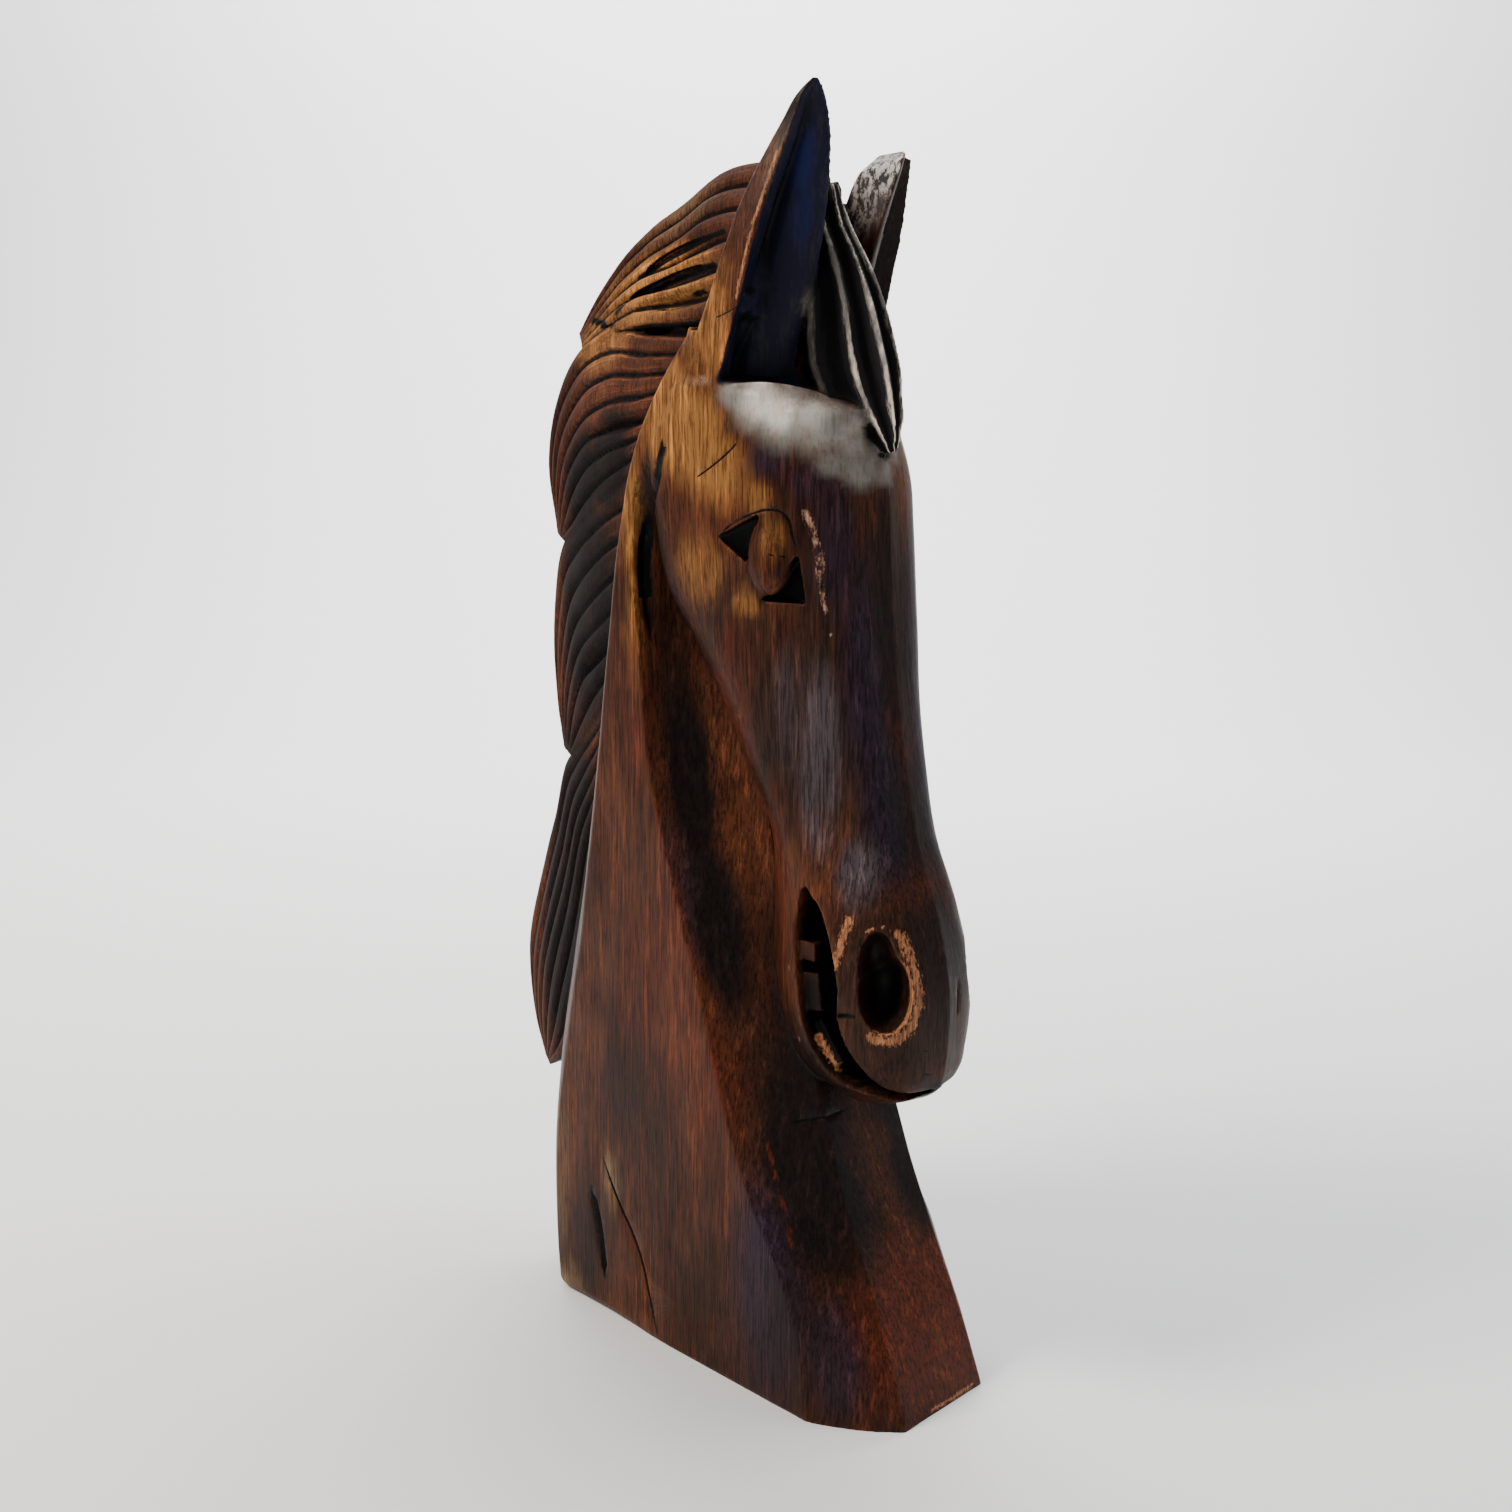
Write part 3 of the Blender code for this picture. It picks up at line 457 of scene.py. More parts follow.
# What the tones are multiplied by: where they are clouded, along light streaks, in pores, in the mottled
# parts of the painted glare and sheen, on the mane's worn edges with their painted highlight and on other
# worn edges
CLOUDED, STREAKED, PORES = (0.68, 0.64, 0.64), (2.5, 2.35, 2.2), (0.30, 0.26, 0.26)
MOTTLED, WORN_AND_LIT_HAIR, WORN_EDGE = (0.82, 0.70, 0.68), (2.6, 2.7, 2.8), (3.2, 3.0, 2.9)
PORE_SHADE = (0.4, 0.4, 0.4)  # the same in the pores of a thin mark

FIRST_STRAND = 40       # number of the forelock's first strand; a lock's is ten times its place in LOCKS
LOCK_RUN = 6            # how long the hair's noise pattern is along a lock
FORELOCK_RUN = 16       # sections of the forelock to each unit of that pattern
FORELOCK_START = 38     # strands numbered from here on are the forelock's
# Where the forelock's painted ridge highlights grow brighter
BRIGHT_STRANDS = (40.9, 41.5)  # from where to where across the forelock its ridges turn bright
# The mane's worn edge also carries a painted highlight
LIT_EDGE = 0.2          # where across a strand of the mane its worn edge runs
HAIR_ROUGHNESS, SPECULAR, BUMP, BUMP_DEPTH = 0.75, 0.11, 0.5, 0.0005


def smooth(knots, values, at):
    """The values read at new places along a smooth curve through all of them."""
    knots, values, at = (np.asarray(item, float) for item in (knots, values, at))
    slopes = np.gradient(values, knots, axis=0)
    i = np.clip(np.searchsorted(knots, at, side="right") - 1, 0, len(knots) - 2)
    span = (knots[i + 1] - knots[i])[:, None]
    u = (at - knots[i])[:, None] / span
    return (
        (1 + 2 * u) * (1 - u) ** 2 * values[i]
        + u * (1 - u) ** 2 * span * slopes[i]
        + u**2 * (3 - 2 * u) * values[i + 1]
        + u**2 * (u - 1) * span * slopes[i + 1]
    )


def along(points, count):
    """Evenly spaced points along a smooth curve through the given ones."""
    points = np.asarray(points, float)
    knots = np.concatenate([[0], np.cumsum(np.linalg.norm(np.diff(points, axis=0), axis=1))])
    return smooth(knots, points, np.linspace(0, knots[-1], count))


def between(rows, count):
    """A table's rows with more put in between, evenly over the heights."""
    heights = np.array([row[0] for row in rows], float)
    values = np.array([np.ravel(row[1:]) for row in rows], float)
    order = np.argsort(heights)
    at = np.interp(np.linspace(0, len(rows) - 1, count), range(len(rows)), heights[order])
    return at, smooth(heights[order], values[order], at)


def mirrored(half):
    """A closed outline from its half at x >= 0, whose first and last points lie on the middle plane."""
    left = half[1:-1][::-1] * (-1, 1)
    return np.concatenate([half, left])


def at_height(outline, height):
    return np.column_stack([outline, np.full(len(outline), height)])


def solid(name, rings):
    """A closed solid through rings of one point count, with a fan of faces over each end."""
    rings = np.array(rings, float)
    count, size, _ = rings.shape
    points = np.concatenate([rings.reshape(-1, 3), rings[[0, -1]].mean(axis=1)])
    i, j = np.meshgrid(np.arange(count - 1), np.arange(size), indexing="ij")
    k = (j + 1) % size
    sides = np.stack([i * size + j, i * size + k, (i + 1) * size + k, (i + 1) * size + j], -1).reshape(-1, 4)
    ring = np.arange(size)
    following = (ring + 1) % size
    first, last = count * size, count * size + 1
    top = (count - 1) * size
    faces = sides.tolist()
    faces += np.column_stack([np.full(size, first), following, ring]).tolist()
    faces += np.column_stack([np.full(size, last), top + ring, top + following]).tolist()
    mesh = bpy.data.meshes.new(name)
    mesh.from_pydata((points * UNIT).tolist(), [], faces)
    shape = bmesh.new()
    shape.from_mesh(mesh)
    bmesh.ops.recalc_face_normals(shape, faces=shape.faces)
    shape.to_mesh(mesh)
    shape.free()
    return bpy.data.objects.new(name, mesh)


def neck_ring(height, chest, flat, ridge, edge, side, back, swell):
    """One level section of the neck, from the chest round to the back."""
    start, end = np.array([flat, chest]), np.array([side, ridge])
    outward = np.array([end[1] - start[1], start[0] - end[0]])
    bend = (start + end) / 2 + 2 * swell * outward / np.linalg.norm(outward)
    t = np.linspace(0, 1, NECK_POINTS[0])[:, None]
    front = (1 - t) ** 2 * start + 2 * t * (1 - t) * bend + t**2 * end
    turn = np.radians(np.linspace(0, 90, NECK_POINTS[1]))
    rear = np.column_stack([side * np.cos(turn) ** STERN, edge + (back - edge) * np.sin(turn) ** STERN])
    rear[-1, 0] = 0
    half = np.concatenate([[(0, chest)], front, rear])
    return at_height(mirrored(half), height)


def lofted(name, rows):
    """A solid whose level sections run smoothly through half of each row's points."""
    rings = []
    for height, row in zip(*between(rows, SECTIONS[name])):
        half = along(row.reshape(-1, 2), HALF_RING)
        half[:, 0] = np.maximum(half[:, 0], 0)
        half[[0, -1], 0] = 0
        rings.append(at_height(mirrored(half), height))
    return solid(name, rings)


def brow():
    """The forehead up to the ledge under the forelock and the ears."""
    made = lofted("brow", BROW)
    bpy.context.scene.collection.objects.link(made)
    outline = mirrored(np.array([*along(LEDGE, 30), (60, 472), (60, 500), (0, 500)]))
    above = solid("above the ledge", [[(x, y, z) for x, z in outline] for y in (-150, 60)])
    combine(made, "DIFFERENCE", [above])
    bpy.context.scene.collection.objects.unlink(made)
    return made


def ear(name, side, root_shift=0, tip_shift=0):
    """An ear on one side (+1 or -1): facets fall from its lips to a groove along the hollow."""
    heights, values = between(EAR, SECTIONS["ear"])
    rings = []
    for height, row in zip(heights, values):
        outer, hollow, inner, flank, back, edge = row.reshape(-1, 2)
        across = inner - outer
        sunk = hollow - outer - across * np.dot(hollow - outer, across) / np.dot(across, across)
        wall = min(EAR_WALL / UNIT, np.linalg.norm(across) / 4) * np.array([0, 1])
        front = [outer + across * share + sunk * depth for share, depth in EAR_FRONT]
        rear = [inner + wall, (inner + flank) / 2 + wall / 2, flank, back, (back + edge) / 2 + wall / 2, edge]
        ring = np.array(front + rear)
        ring[:, 0] += np.interp(height, heights[[0, -1]], (root_shift, tip_shift))
        rings.append(at_height(ring * (side, 1), height))
    point = rings[-1].mean(axis=0)
    rings[-1] = point + (rings[-2] - rings[-2].mean(axis=0)) * EAR_POINT
    return solid(name, rings)


def strand_relief(across, strands, sharpness):
    """Height of carved hair across its width, from 0 in a cut to 1 along the middle of a strand."""
    return 1 - np.abs(2 * np.mod(across * strands, 1) - 1) ** sharpness


strand_points = []      # points over the hair with their place across and along its strands


def keep_strands(points, across, along_them):
    strand_points.append(np.column_stack([points, across, np.full(len(points), along_them)]))


def forelock():
    """Strands like steps: each rises steeply to a sharp ridge and falls slowly to the next one's foot."""
    heights, values = between(FORELOCK, SECTIONS["forelock"])
    across = np.linspace(0, 1, POINTS_A_STRAND * FORELOCK_STRANDS + 1)
    place = np.mod(across * FORELOCK_STRANDS, 1)
    relief = np.where(place < RIDGE_PLACE, place / RIDGE_PLACE, 1 - (place - RIDGE_PLACE) / (1 - RIDGE_PLACE))
    turn = (across - 0.5) * np.pi
    rings = []
    for i, (height, (front, back, half)) in enumerate(zip(heights, values)):
        cut = min(FORELOCK_DEEP, half / 2) * (relief - FORELOCK_SET_BACK)
        x = (half + cut) * np.sin(turn)
        y = back + (front - back - cut) * np.cos(turn)
        ring = at_height(np.column_stack([x, y]), height)
        keep_strands(ring, across * FORELOCK_STRANDS + FIRST_STRAND, i / FORELOCK_RUN)
        rings.append(ring)
    return solid("forelock", rings)


ROOT_LINE, ENVELOPE_LINE = (along(line, MANE_LINE_POINTS) for line in (MANE_ROOT, MANE_ENVELOPE))


def mane_depth(place):
    """How far (y, z) lies from the mane's root, 0, towards its envelope, 1."""
    to_root = np.linalg.norm(place[:, None] - ROOT_LINE, axis=2).min(axis=1)
    to_envelope = np.linalg.norm(place[:, None] - ENVELOPE_LINE, axis=2).min(axis=1)
    return to_root / (to_root + to_envelope)


def mane_surface(place, out):
    """Points over (y, z) on the mane's left-hand surface, each moved outward along its normal."""
    depth = mane_depth(place)
    step = 1.0
    slope = np.column_stack([
        (mane_depth(place + (step, 0)) - mane_depth(place - (step, 0))) / (2 * step),
        (mane_depth(place + (0, step)) - mane_depth(place - (0, step))) / (2 * step),
    ])
    x = MANE_HALF_WIDTH * (1 - depth**MANE_TAPER) + MANE_CREST_HALF
    fall = MANE_HALF_WIDTH * MANE_TAPER * depth ** (MANE_TAPER - 1)
    normal = np.column_stack([np.ones(len(place)), fall[:, None] * slope])
    normal /= np.linalg.norm(normal, axis=1)[:, None]
    moved = np.column_stack([x, place]) + normal * out[:, None]
    moved[:, 0] = np.maximum(moved[:, 0], MANE_CREST_HALF / 2)
    return moved


def both_halves(left):
    return np.concatenate([left, left[::-1] * (-1, 1, 1)])


def mane_core():
    """What fills the mane under its locks, from the poll down to the withers."""
    outward = np.array(CORE_REACH)
    half = MANE_HALF_WIDTH * (1 - outward**MANE_TAPER) - CORE_UNDER
    outward[0] = -CORE_INSIDE
    rings = []
    for low, high in zip(*(along(line, SECTIONS["mane core"]) for line in (MANE_ROOT, MANE_ENVELOPE))):
        left = np.column_stack([half, low + (high - low) * outward[:, None]])
        rings.append(both_halves(left))
    return solid("mane core", rings)


def lock(number, upper, lower, strands):
    """One lock of the mane, carved alike on both sides: its strands sweep from the neck to the lock's tip."""
    lengths = SECTIONS["lock"]
    across = np.linspace(0, 1, LOCK_POINTS * strands + 1)
    top, bottom = along(upper, lengths), along(lower, lengths)
    rings = []
    for i, (high, low) in enumerate(zip(top, bottom)):
        run = i / (lengths - 1)
        wave = np.sin(STRAND_WAVES[0] * run + STRAND_WAVES[1] * across + number)
        wander = STRAND_WANDER * wave * np.sin(np.pi * across)
        place = high + (low - high) * (across + wander)[:, None]
        width = np.linalg.norm(high - low) / strands
        deep = np.full(len(across), min(GROOVE_DEPTH / UNIT, 0.5 * width))
        sharp = np.full(len(across), STRAND_FORM)
        for owner, cut, start, end in WIDE_CUTS:
            if owner == number and start < run < end:
                near = np.clip(1 - np.abs(across * strands - cut) / 0.5, 0, 1) > 0
                opened = np.sin(np.pi * (run - start) / (end - start)) ** WIDE_CUT_FORM
                sharp[near] = STRAND_FORM - WIDE_CUT_EASES * opened
                deep[near] += WIDE_CUT_DEEPER * opened
        tilt = STRAND_TILT * (np.mod(across * strands, 1) - 0.5)
        relief = strand_relief(across, strands, sharp)
        out = LOCK_PROUD[0] + LOCK_PROUD[1] * run + deep * (relief - 1) + tilt * np.minimum(relief * 2, 1)
        left = mane_surface(place, out)
        for side in (1, -1):
            keep_strands(left * (side, 1, 1), across * strands + 10 * number, run * LOCK_RUN)
        rings.append(both_halves(left))
    return solid(f"lock {number + 1}", rings)


def primitive(name, make, middle, sizes, turn, **options):
    """A sphere or cube of unit size brought to its place, its sizes and its turn."""
    shape = bmesh.new()
    make(shape, **options)
    mesh = bpy.data.meshes.new(name)
    shape.to_mesh(mesh)
    shape.free()
    made = bpy.data.objects.new(name, mesh)
    made.location = Vector(middle) * UNIT
    made.scale = Vector(sizes) * UNIT
    made.rotation_euler = turn
    return made


def dome(name, side, middle, radii, outward):
    """A swelling or hollow on one side, given as for the left: its second half size points outward."""
    flip = Vector((side, 1, 1))
    turn = (Vector(outward) * flip).to_track_quat("Y", "Z").to_euler()
    round_form = {"u_segments": 64, "v_segments": 40, "radius": 1}
    return primitive(name, bmesh.ops.create_uvsphere, Vector(middle) * flip, radii, turn, **round_form)


def block(name, middle, size, turn):
    """A box with this middle and these sizes, turned by so many degrees about x, y and z."""
    return primitive(name, bmesh.ops.create_cube, middle, size, np.radians(turn), size=1)


def pit(name, side, corners):
    """A three-cornered cutter that goes straight in, to each corner's own depth."""
    mouth = np.array([corner for corner, _ in corners], float)
    depths = np.array([share for _, share in corners])[:, None] * EYE_CUT_DEPTH / UNIT
    normal = np.array(EYE_OUTWARD) / np.linalg.norm(EYE_OUTWARD)
    rings = np.array([mouth + normal * EYE_CUT_FLARE, mouth - normal * depths])
    return solid(name, rings * (side, 1, 1))


def mouth_cutter(name, side):
    """The opening between the lips, cut in from the cheek and round to the front of the muzzle."""
    rows = np.array([(skin, *rear, *front) for skin, rear, front in MOUTH])
    rings = []
    for skin, *edges in along(rows, SECTIONS["mouth"]):
        rear, front = np.reshape(edges, (2, 2))
        middle = (rear + front) / 2
        outside, inside = skin + MOUTH_FLARE, max(skin - MOUTH_DEPTH / UNIT, MOUTH_APART)
        deep = middle + (np.array([front, rear]) - middle) * MOUTH_NARROWS
        ring = [(outside, *rear), (outside, *front), (inside, *deep[0]), (inside, *deep[1])]
        rings.append(np.array(ring) * (side, 1, 1))
    return solid(name, rings)


def broken_tip(slope):
    """What is gone from the left ear on one side of its highest point: all above a slope in degrees."""
    size = BREAK_BLOCK
    turn = np.radians(slope)
    x, y = EAR_TIP
    z = (HEIGHT - BROKEN_EAR_LOSS) / UNIT
    middle = (x - size / 2 * np.sin(turn), y, z + size / 2 * np.cos(turn))
    return block("broken tip of the left ear", middle, (size, size, size), (0, -slope, 0))


def combine(target, operation, forms):
    """Join the forms to the target, or cut them out of it."""
    group = bpy.data.collections.new("forms")
    bpy.context.scene.collection.children.link(group)
    for form in forms:
        group.objects.link(form)
    step = target.modifiers.new("forms", "BOOLEAN")
    step.operation, step.solver = operation, "MANIFOLD"
    step.operand_type, step.collection = "COLLECTION", group
    bake(target)
    for form in forms:
        bpy.data.objects.remove(form)
    bpy.data.collections.remove(group)


def bake(target):
    """Put the object's modifiers into its mesh."""
    bpy.context.view_layer.update()
    graph = bpy.context.evaluated_depsgraph_get()
    mesh = bpy.data.meshes.new_from_object(target.evaluated_get(graph))
    target.modifiers.clear()
    target.data = mesh


def carved_block():
    """The whole figure as one closed mesh, before any fine carving."""
    forms = [lofted("head", HEAD), brow(), mane_core(), forelock()]
    forms += [ear("right ear", -1), ear("left ear", 1, *LEFT_EAR_SHIFT)]
    for number, (upper, lower, strands) in enumerate(LOCKS):
        forms.append(lock(number, upper, lower, strands))
    cuts = [broken_tip(slope) for slope in BREAK_SLOPES]
    inside = []
    for word, side in (("right", -1), ("left", 1)):
        forms.append(dome(f"{word} nostril rim", side, *NOSTRIL_RIM))
        cuts.append(dome(f"{word} nostril", side, *NOSTRIL_LOW))
        cuts.append(dome(f"{word} nostril's narrow top", side, *NOSTRIL_TOP))
        cuts.append(mouth_cutter(f"{word} mouth", side))
        for number, corners in enumerate(EYE_CUTS, 1):
            cuts.append(pit(f"{word} eye cut {number}", side, corners))
        inside.append(dome(f"{word} eyeball", side, *EYEBALL))
        for number, ((x, y, z), size, lean) in enumerate(TEETH, 1):
            inside.append(block(f"{word} tooth {number}", (side * x, y, z), size, (lean, 0, 0)))
    sections = zip(*between(NECK, SECTIONS["neck"]))
    horse = solid("carved_horse", [neck_ring(height, *row) for height, row in sections])
    bpy.context.scene.collection.objects.link(horse)
    combine(horse, "UNION", forms)
    combine(horse, "DIFFERENCE", cuts)
    combine(horse, "UNION", inside)
    remesh = horse.modifiers.new("even faces", "REMESH")
    remesh.mode = "VOXEL"
    remesh.voxel_size = VOXEL
    bake(horse)
    return horse


def evened(points, edges):
    """The points without the steps that the even mesh has along thin edges, at the same size."""
    for _ in range(EVENING):
        soft = relaxed(points, edges, 1)
        points = soft + (soft - relaxed(soft, edges, 1)) * REGAIN
    return points


def read(mesh, field):
    """The points, edges or normals of a mesh, one in a row."""
    items, key, size, kind = {
        "points": (mesh.vertices, "co", 3, np.float32), "normals": (mesh.vertices, "normal", 3, np.float32),
        "edges": (mesh.edges, "vertices", 2, np.int32),
    }[field]
    values = np.empty(len(items) * size, kind)
    items.foreach_get(key, values)
    return values.reshape(-1, size).astype(int if field == "edges" else float)


def write_points(mesh, points):
    mesh.vertices.foreach_set("co", np.ascontiguousarray(points, np.float32).ravel())
    mesh.update()


def relaxed(points, edges, rounds):
    """The points after each has moved towards the mean of its neighbours so many times."""
    count = len(points)
    a, b = edges.T
    links = np.bincount(a, minlength=count) + np.bincount(b, minlength=count)
    for _ in range(rounds):
        total = np.column_stack([
            np.bincount(a, values[b], count) + np.bincount(b, values[a], count) for values in points.T
        ])
        points = points * (1 - MOVE) + total / links[:, None] * MOVE
    return points


def thin_out(horse, triangles):
    """Merge the flattest edges until the mesh has no more than so many triangles."""
    now = sum(len(face.vertices) - 2 for face in horse.data.polygons)
    step = horse.modifiers.new("fewer faces", "DECIMATE")
    step.ratio = min(1, triangles / now)
    bake(horse)


def store(mesh, name, values):
    """Keep one number per point under a name that the material reads."""
    layer = mesh.attributes.new(name, "FLOAT", "POINT")
    layer.data.foreach_set("value", np.ascontiguousarray(values, np.float32))


def step_between(values, low, high):
    t = np.clip((values - low) / (high - low), 0, 1)
    return t * t * (3 - 2 * t)


def patch(points, middle, radii):
    """1 at the middle of a soft oval patch, in mm, fading to 0 at its edge."""
    far = np.linalg.norm((points / UNIT - middle) / radii, axis=1)
    return step_between(-far, -1, -PATCH_FULL)


def beside(points, normals, path, reach):
    """For points near a path: which they are, how far off, how far to its left, and the run along it."""
    line = along(path, PATH_POINTS) * UNIT
    near = np.flatnonzero(np.all((points > line.min(0) - reach) & (points < line.max(0) + reach), axis=1))
    start, step = line[:-1], np.diff(line, axis=0)
    gap = points[near, None] - start
    t = np.clip((gap * step).sum(-1) / (step**2).sum(-1), 0, 1)
    gap = gap - t[..., None] * step
    best = np.linalg.norm(gap, axis=2).argmin(axis=1)
    every = np.arange(len(near))
    gap = gap[every, best]
    aside = np.cross(step[best], normals[near])
    aside /= np.linalg.norm(aside, axis=1)[:, None] + 1e-12
    return near, np.linalg.norm(gap, axis=1), (gap * aside).sum(1), (best + t[every, best]) / len(step)


def groove(points, normals, path, half_width, depth):
    """Sink the skin along a path in mm, deepest on the path itself."""
    reach = half_width * UNIT
    near, far, _, run = beside(points, normals, path, reach)
    fade = np.clip(np.minimum(run, 1 - run) / GROOVE_ENDS, GROOVE_END_SHARE, 1)
    sink = np.clip(1 - far / (reach * fade), 0, 1) * depth * fade * UNIT
    points[near] -= normals[near] * sink[:, None]


def carve_lines(points, normals):
    for path, half_width, depth in BOTH_SIDES:
        groove(points, normals, path, half_width, depth)
        groove(points, normals, np.array(path) * (-1, 1, 1), half_width, depth)
    for path, half_width, depth in ONE_SIDE:
        groove(points, normals, path, half_width, depth)


def unevenness(points):
    """How far a knife left the skin proud or low at each point, in mm."""
    return np.array([noise.noise(place) for place in points * WAVES]) * WAVE_HEIGHT


def worn_stern(points):
    """The foot's lower edge rounded off towards the back, where it is worn."""
    x, y, z = points.T / UNIT
    worn = step_between(y, *STERN_WEARS)
    deep = np.clip(1 - z / STERN_WEAR[0], 0, 1) ** 2 * STERN_WEAR[1] * worn
    middle = np.column_stack([np.zeros(len(points)), np.minimum(y, STERN_MIDDLE), z])
    out = points / UNIT - middle
    far = np.linalg.norm(out, axis=1)
    return (middle + out * (1 - deep / np.maximum(far, STERN_LEAST))[:, None]) * UNIT


def nearest_of(samples, places):
    """The number of the sample nearest to each place, and how far off it is."""
    tree = kdtree.KDTree(len(samples))
    for i, sample in enumerate(samples):
        tree.insert(sample, i)
    tree.balance()
    found = [tree.find(place) for place in places]
    return np.array([item[1] for item in found]), np.array([item[2] for item in found])


def in_eye_cuts(places):
    """1 inside the three-cornered cuts of the left eye, but for the eyeball, at places in mm."""
    into = np.array(EYE_OUTWARD) / np.linalg.norm(EYE_OUTWARD)
    middle, radii, outward = (np.array(item, float) for item in EYEBALL)
    outward /= np.linalg.norm(outward)
    aside = np.cross(outward, (0, 0, 1))
    aside /= np.linalg.norm(aside)
    axes = np.array([aside, outward, np.cross(aside, outward)])
    off_ball = step_between(np.linalg.norm((places - middle) @ axes.T / radii, axis=1), *EYE_BLACK_OFF_BALL)
    inside = np.zeros(len(places))
    for corners in EYE_CUTS:
        a, b, c = (np.array(corner, float) for corner, _ in corners)
        u, v, depth = np.linalg.solve(np.column_stack([b - a, c - a, -into]), (places - a).T)
        edge = np.minimum(np.minimum(u, v), 1 - u - v)
        deep = step_between(depth, *EYE_BLACK_DEEP)
        inside = np.maximum(inside, step_between(edge, *EYE_BLACK_EDGE) * deep)
    return inside * off_ball


def in_mouth(places):
    """1 deep inside the mouth, 0 at the skin, at places in mm with x turned positive."""
    rows = along(np.array([(skin, *rear, *front) for skin, rear, front in MOUTH]), SECTIONS["mouth"])
    rear, front = rows[:, 1:3], rows[:, 3:5]
    nearest = np.linalg.norm(places[:, None, 1:] - (rear + front) / 2, axis=2).argmin(axis=1)
    across = front[nearest] - rear[nearest]
    share = ((places[:, 1:] - rear[nearest]) * across).sum(1) / (across**2).sum(1)
    below, above, aside = MOUTH_DARK_PAST
    ends = (places[:, 2] > front[-1, 1] - below) & (places[:, 2] < front[0, 1] + above)
    between_lips = np.abs(share - 0.5) < 0.5 + aside
    return step_between(rows[nearest, 0] - places[:, 0], *MOUTH_DARKENS) * ends * between_lips


def ear_front(places, normals):
    """1 on the front of the right ear and beside it above the ledge, where its navy shade is painted, at
    places in mm.
    """
    heights, rows = between(EAR, EAR_LEVELS)
    lip = np.interp(places[:, 2], heights, rows[:, 0])
    width = np.abs(places[:, 0])
    ledge = np.interp(width, *np.array(LEDGE).T)
    inside = step_between(lip - width, *EAR_TONE_LIP) * step_between(-normals[:, 1], *EAR_TONE_FACING)
    floor_of_hollow = np.interp(places[:, 2], heights, rows[:, 3])
    forward = step_between(floor_of_hollow - places[:, 1], *EAR_TONE_FLOOR)
    above = step_between(places[:, 2] - ledge, *EAR_TONE_LEDGE)
    return inside * forward * above * (places[:, 0] < EAR_TONE_INNER)


def keep_marks(mesh, points, normals, tone):
    """Store how far each point lies from a tone's nearest mark, and how far to its left, in half widths."""
    off, left = np.full(len(points), 99.0), np.full(len(points), 99.0)
    for kind, half_width, path in MARKS:
        if kind == tone:
            near, far, aside, _ = beside(points, normals, path, MARK_REACH * UNIT)
            scale = half_width * UNIT
            nearer = far / scale < off[near]
            off[near[nearer]] = far[nearer] / scale
            left[near[nearer]] = aside[nearer] / scale
    store(mesh, f"{tone} off", off)
    store(mesh, f"{tone} left", left)


class Nodes:
    """Short names for building a material's node tree."""

    def __init__(self, material):
        material.use_nodes = True
        self.tree = material.node_tree
        self.tree.nodes.clear()

    def add(self, kind, **settings):
        node = self.tree.nodes.new(kind)
        for name, value in settings.items():
            setattr(node, name, value)
        return node

    def link(self, source, target):
        if isinstance(source, bpy.types.NodeSocket):
            self.tree.links.new(source, target)
        else:
            target.default_value = source

    def attribute(self, name):
        return self.add("ShaderNodeAttribute", attribute_name=name).outputs["Fac"]

    def math(self, operation, a, b=0.0, clamp=False):
        node = self.add("ShaderNodeMath", operation=operation, use_clamp=clamp)
        self.link(a, node.inputs[0])
        self.link(b, node.inputs[1])
        return node.outputs[0]

    def times(self, a, b):
        return self.math("MULTIPLY", a, b)

    def plus(self, a, b):
        return self.math("ADD", a, b)

    def less(self, a, b):
        return self.math("SUBTRACT", a, b)

    def apart(self, a, b):
        return self.math("ABSOLUTE", self.less(a, b))

    def ramp(self, value, low, high):
        node = self.add("ShaderNodeMapRange", interpolation_type="SMOOTHSTEP")
        self.link(value, node.inputs["Value"])
        node.inputs["From Min"].default_value = low
        node.inputs["From Max"].default_value = high
        return node.outputs["Result"]

    def blend(self, factor, a, b):
        node = self.add("ShaderNodeMix", data_type="FLOAT")
        for source, target in zip((factor, a, b), (node.inputs[0], node.inputs[2], node.inputs[3])):
            self.link(source, target)
        return node.outputs[0]

    def mix(self, factor, a, b, blend="MIX"):
        node = self.add("ShaderNodeMix", data_type="RGBA", blend_type=blend)
        self.link(factor, node.inputs[0])
        self.link((*a, 1) if isinstance(a, tuple) else a, node.inputs[6])
        self.link((*b, 1) if isinstance(b, tuple) else b, node.inputs[7])
        return node.outputs[2]

    def noise(self, place, name):
        stretch, *settings = NOISES[name]
        mapping = self.add("ShaderNodeMapping")
        self.link(place, mapping.inputs["Vector"])
        mapping.inputs["Scale"].default_value = stretch
        node = self.add("ShaderNodeTexNoise")
        self.link(mapping.outputs[0], node.inputs["Vector"])
        for key, value in zip(("Scale", "Detail", "Roughness"), settings):
            node.inputs[key].default_value = value
        return node.outputs["Fac"]

    def mark(self, tone, rough):
        """1 on the marks of a tone, with an edge that the noise makes uneven."""
        left = self.plus(self.math("ABSOLUTE", self.attribute(f"{tone} left")), rough)
        on_path = self.ramp(self.attribute(f"{tone} off"), 2.0, 1.4)
        return self.times(self.ramp(left, 1.0, 0.45), on_path)


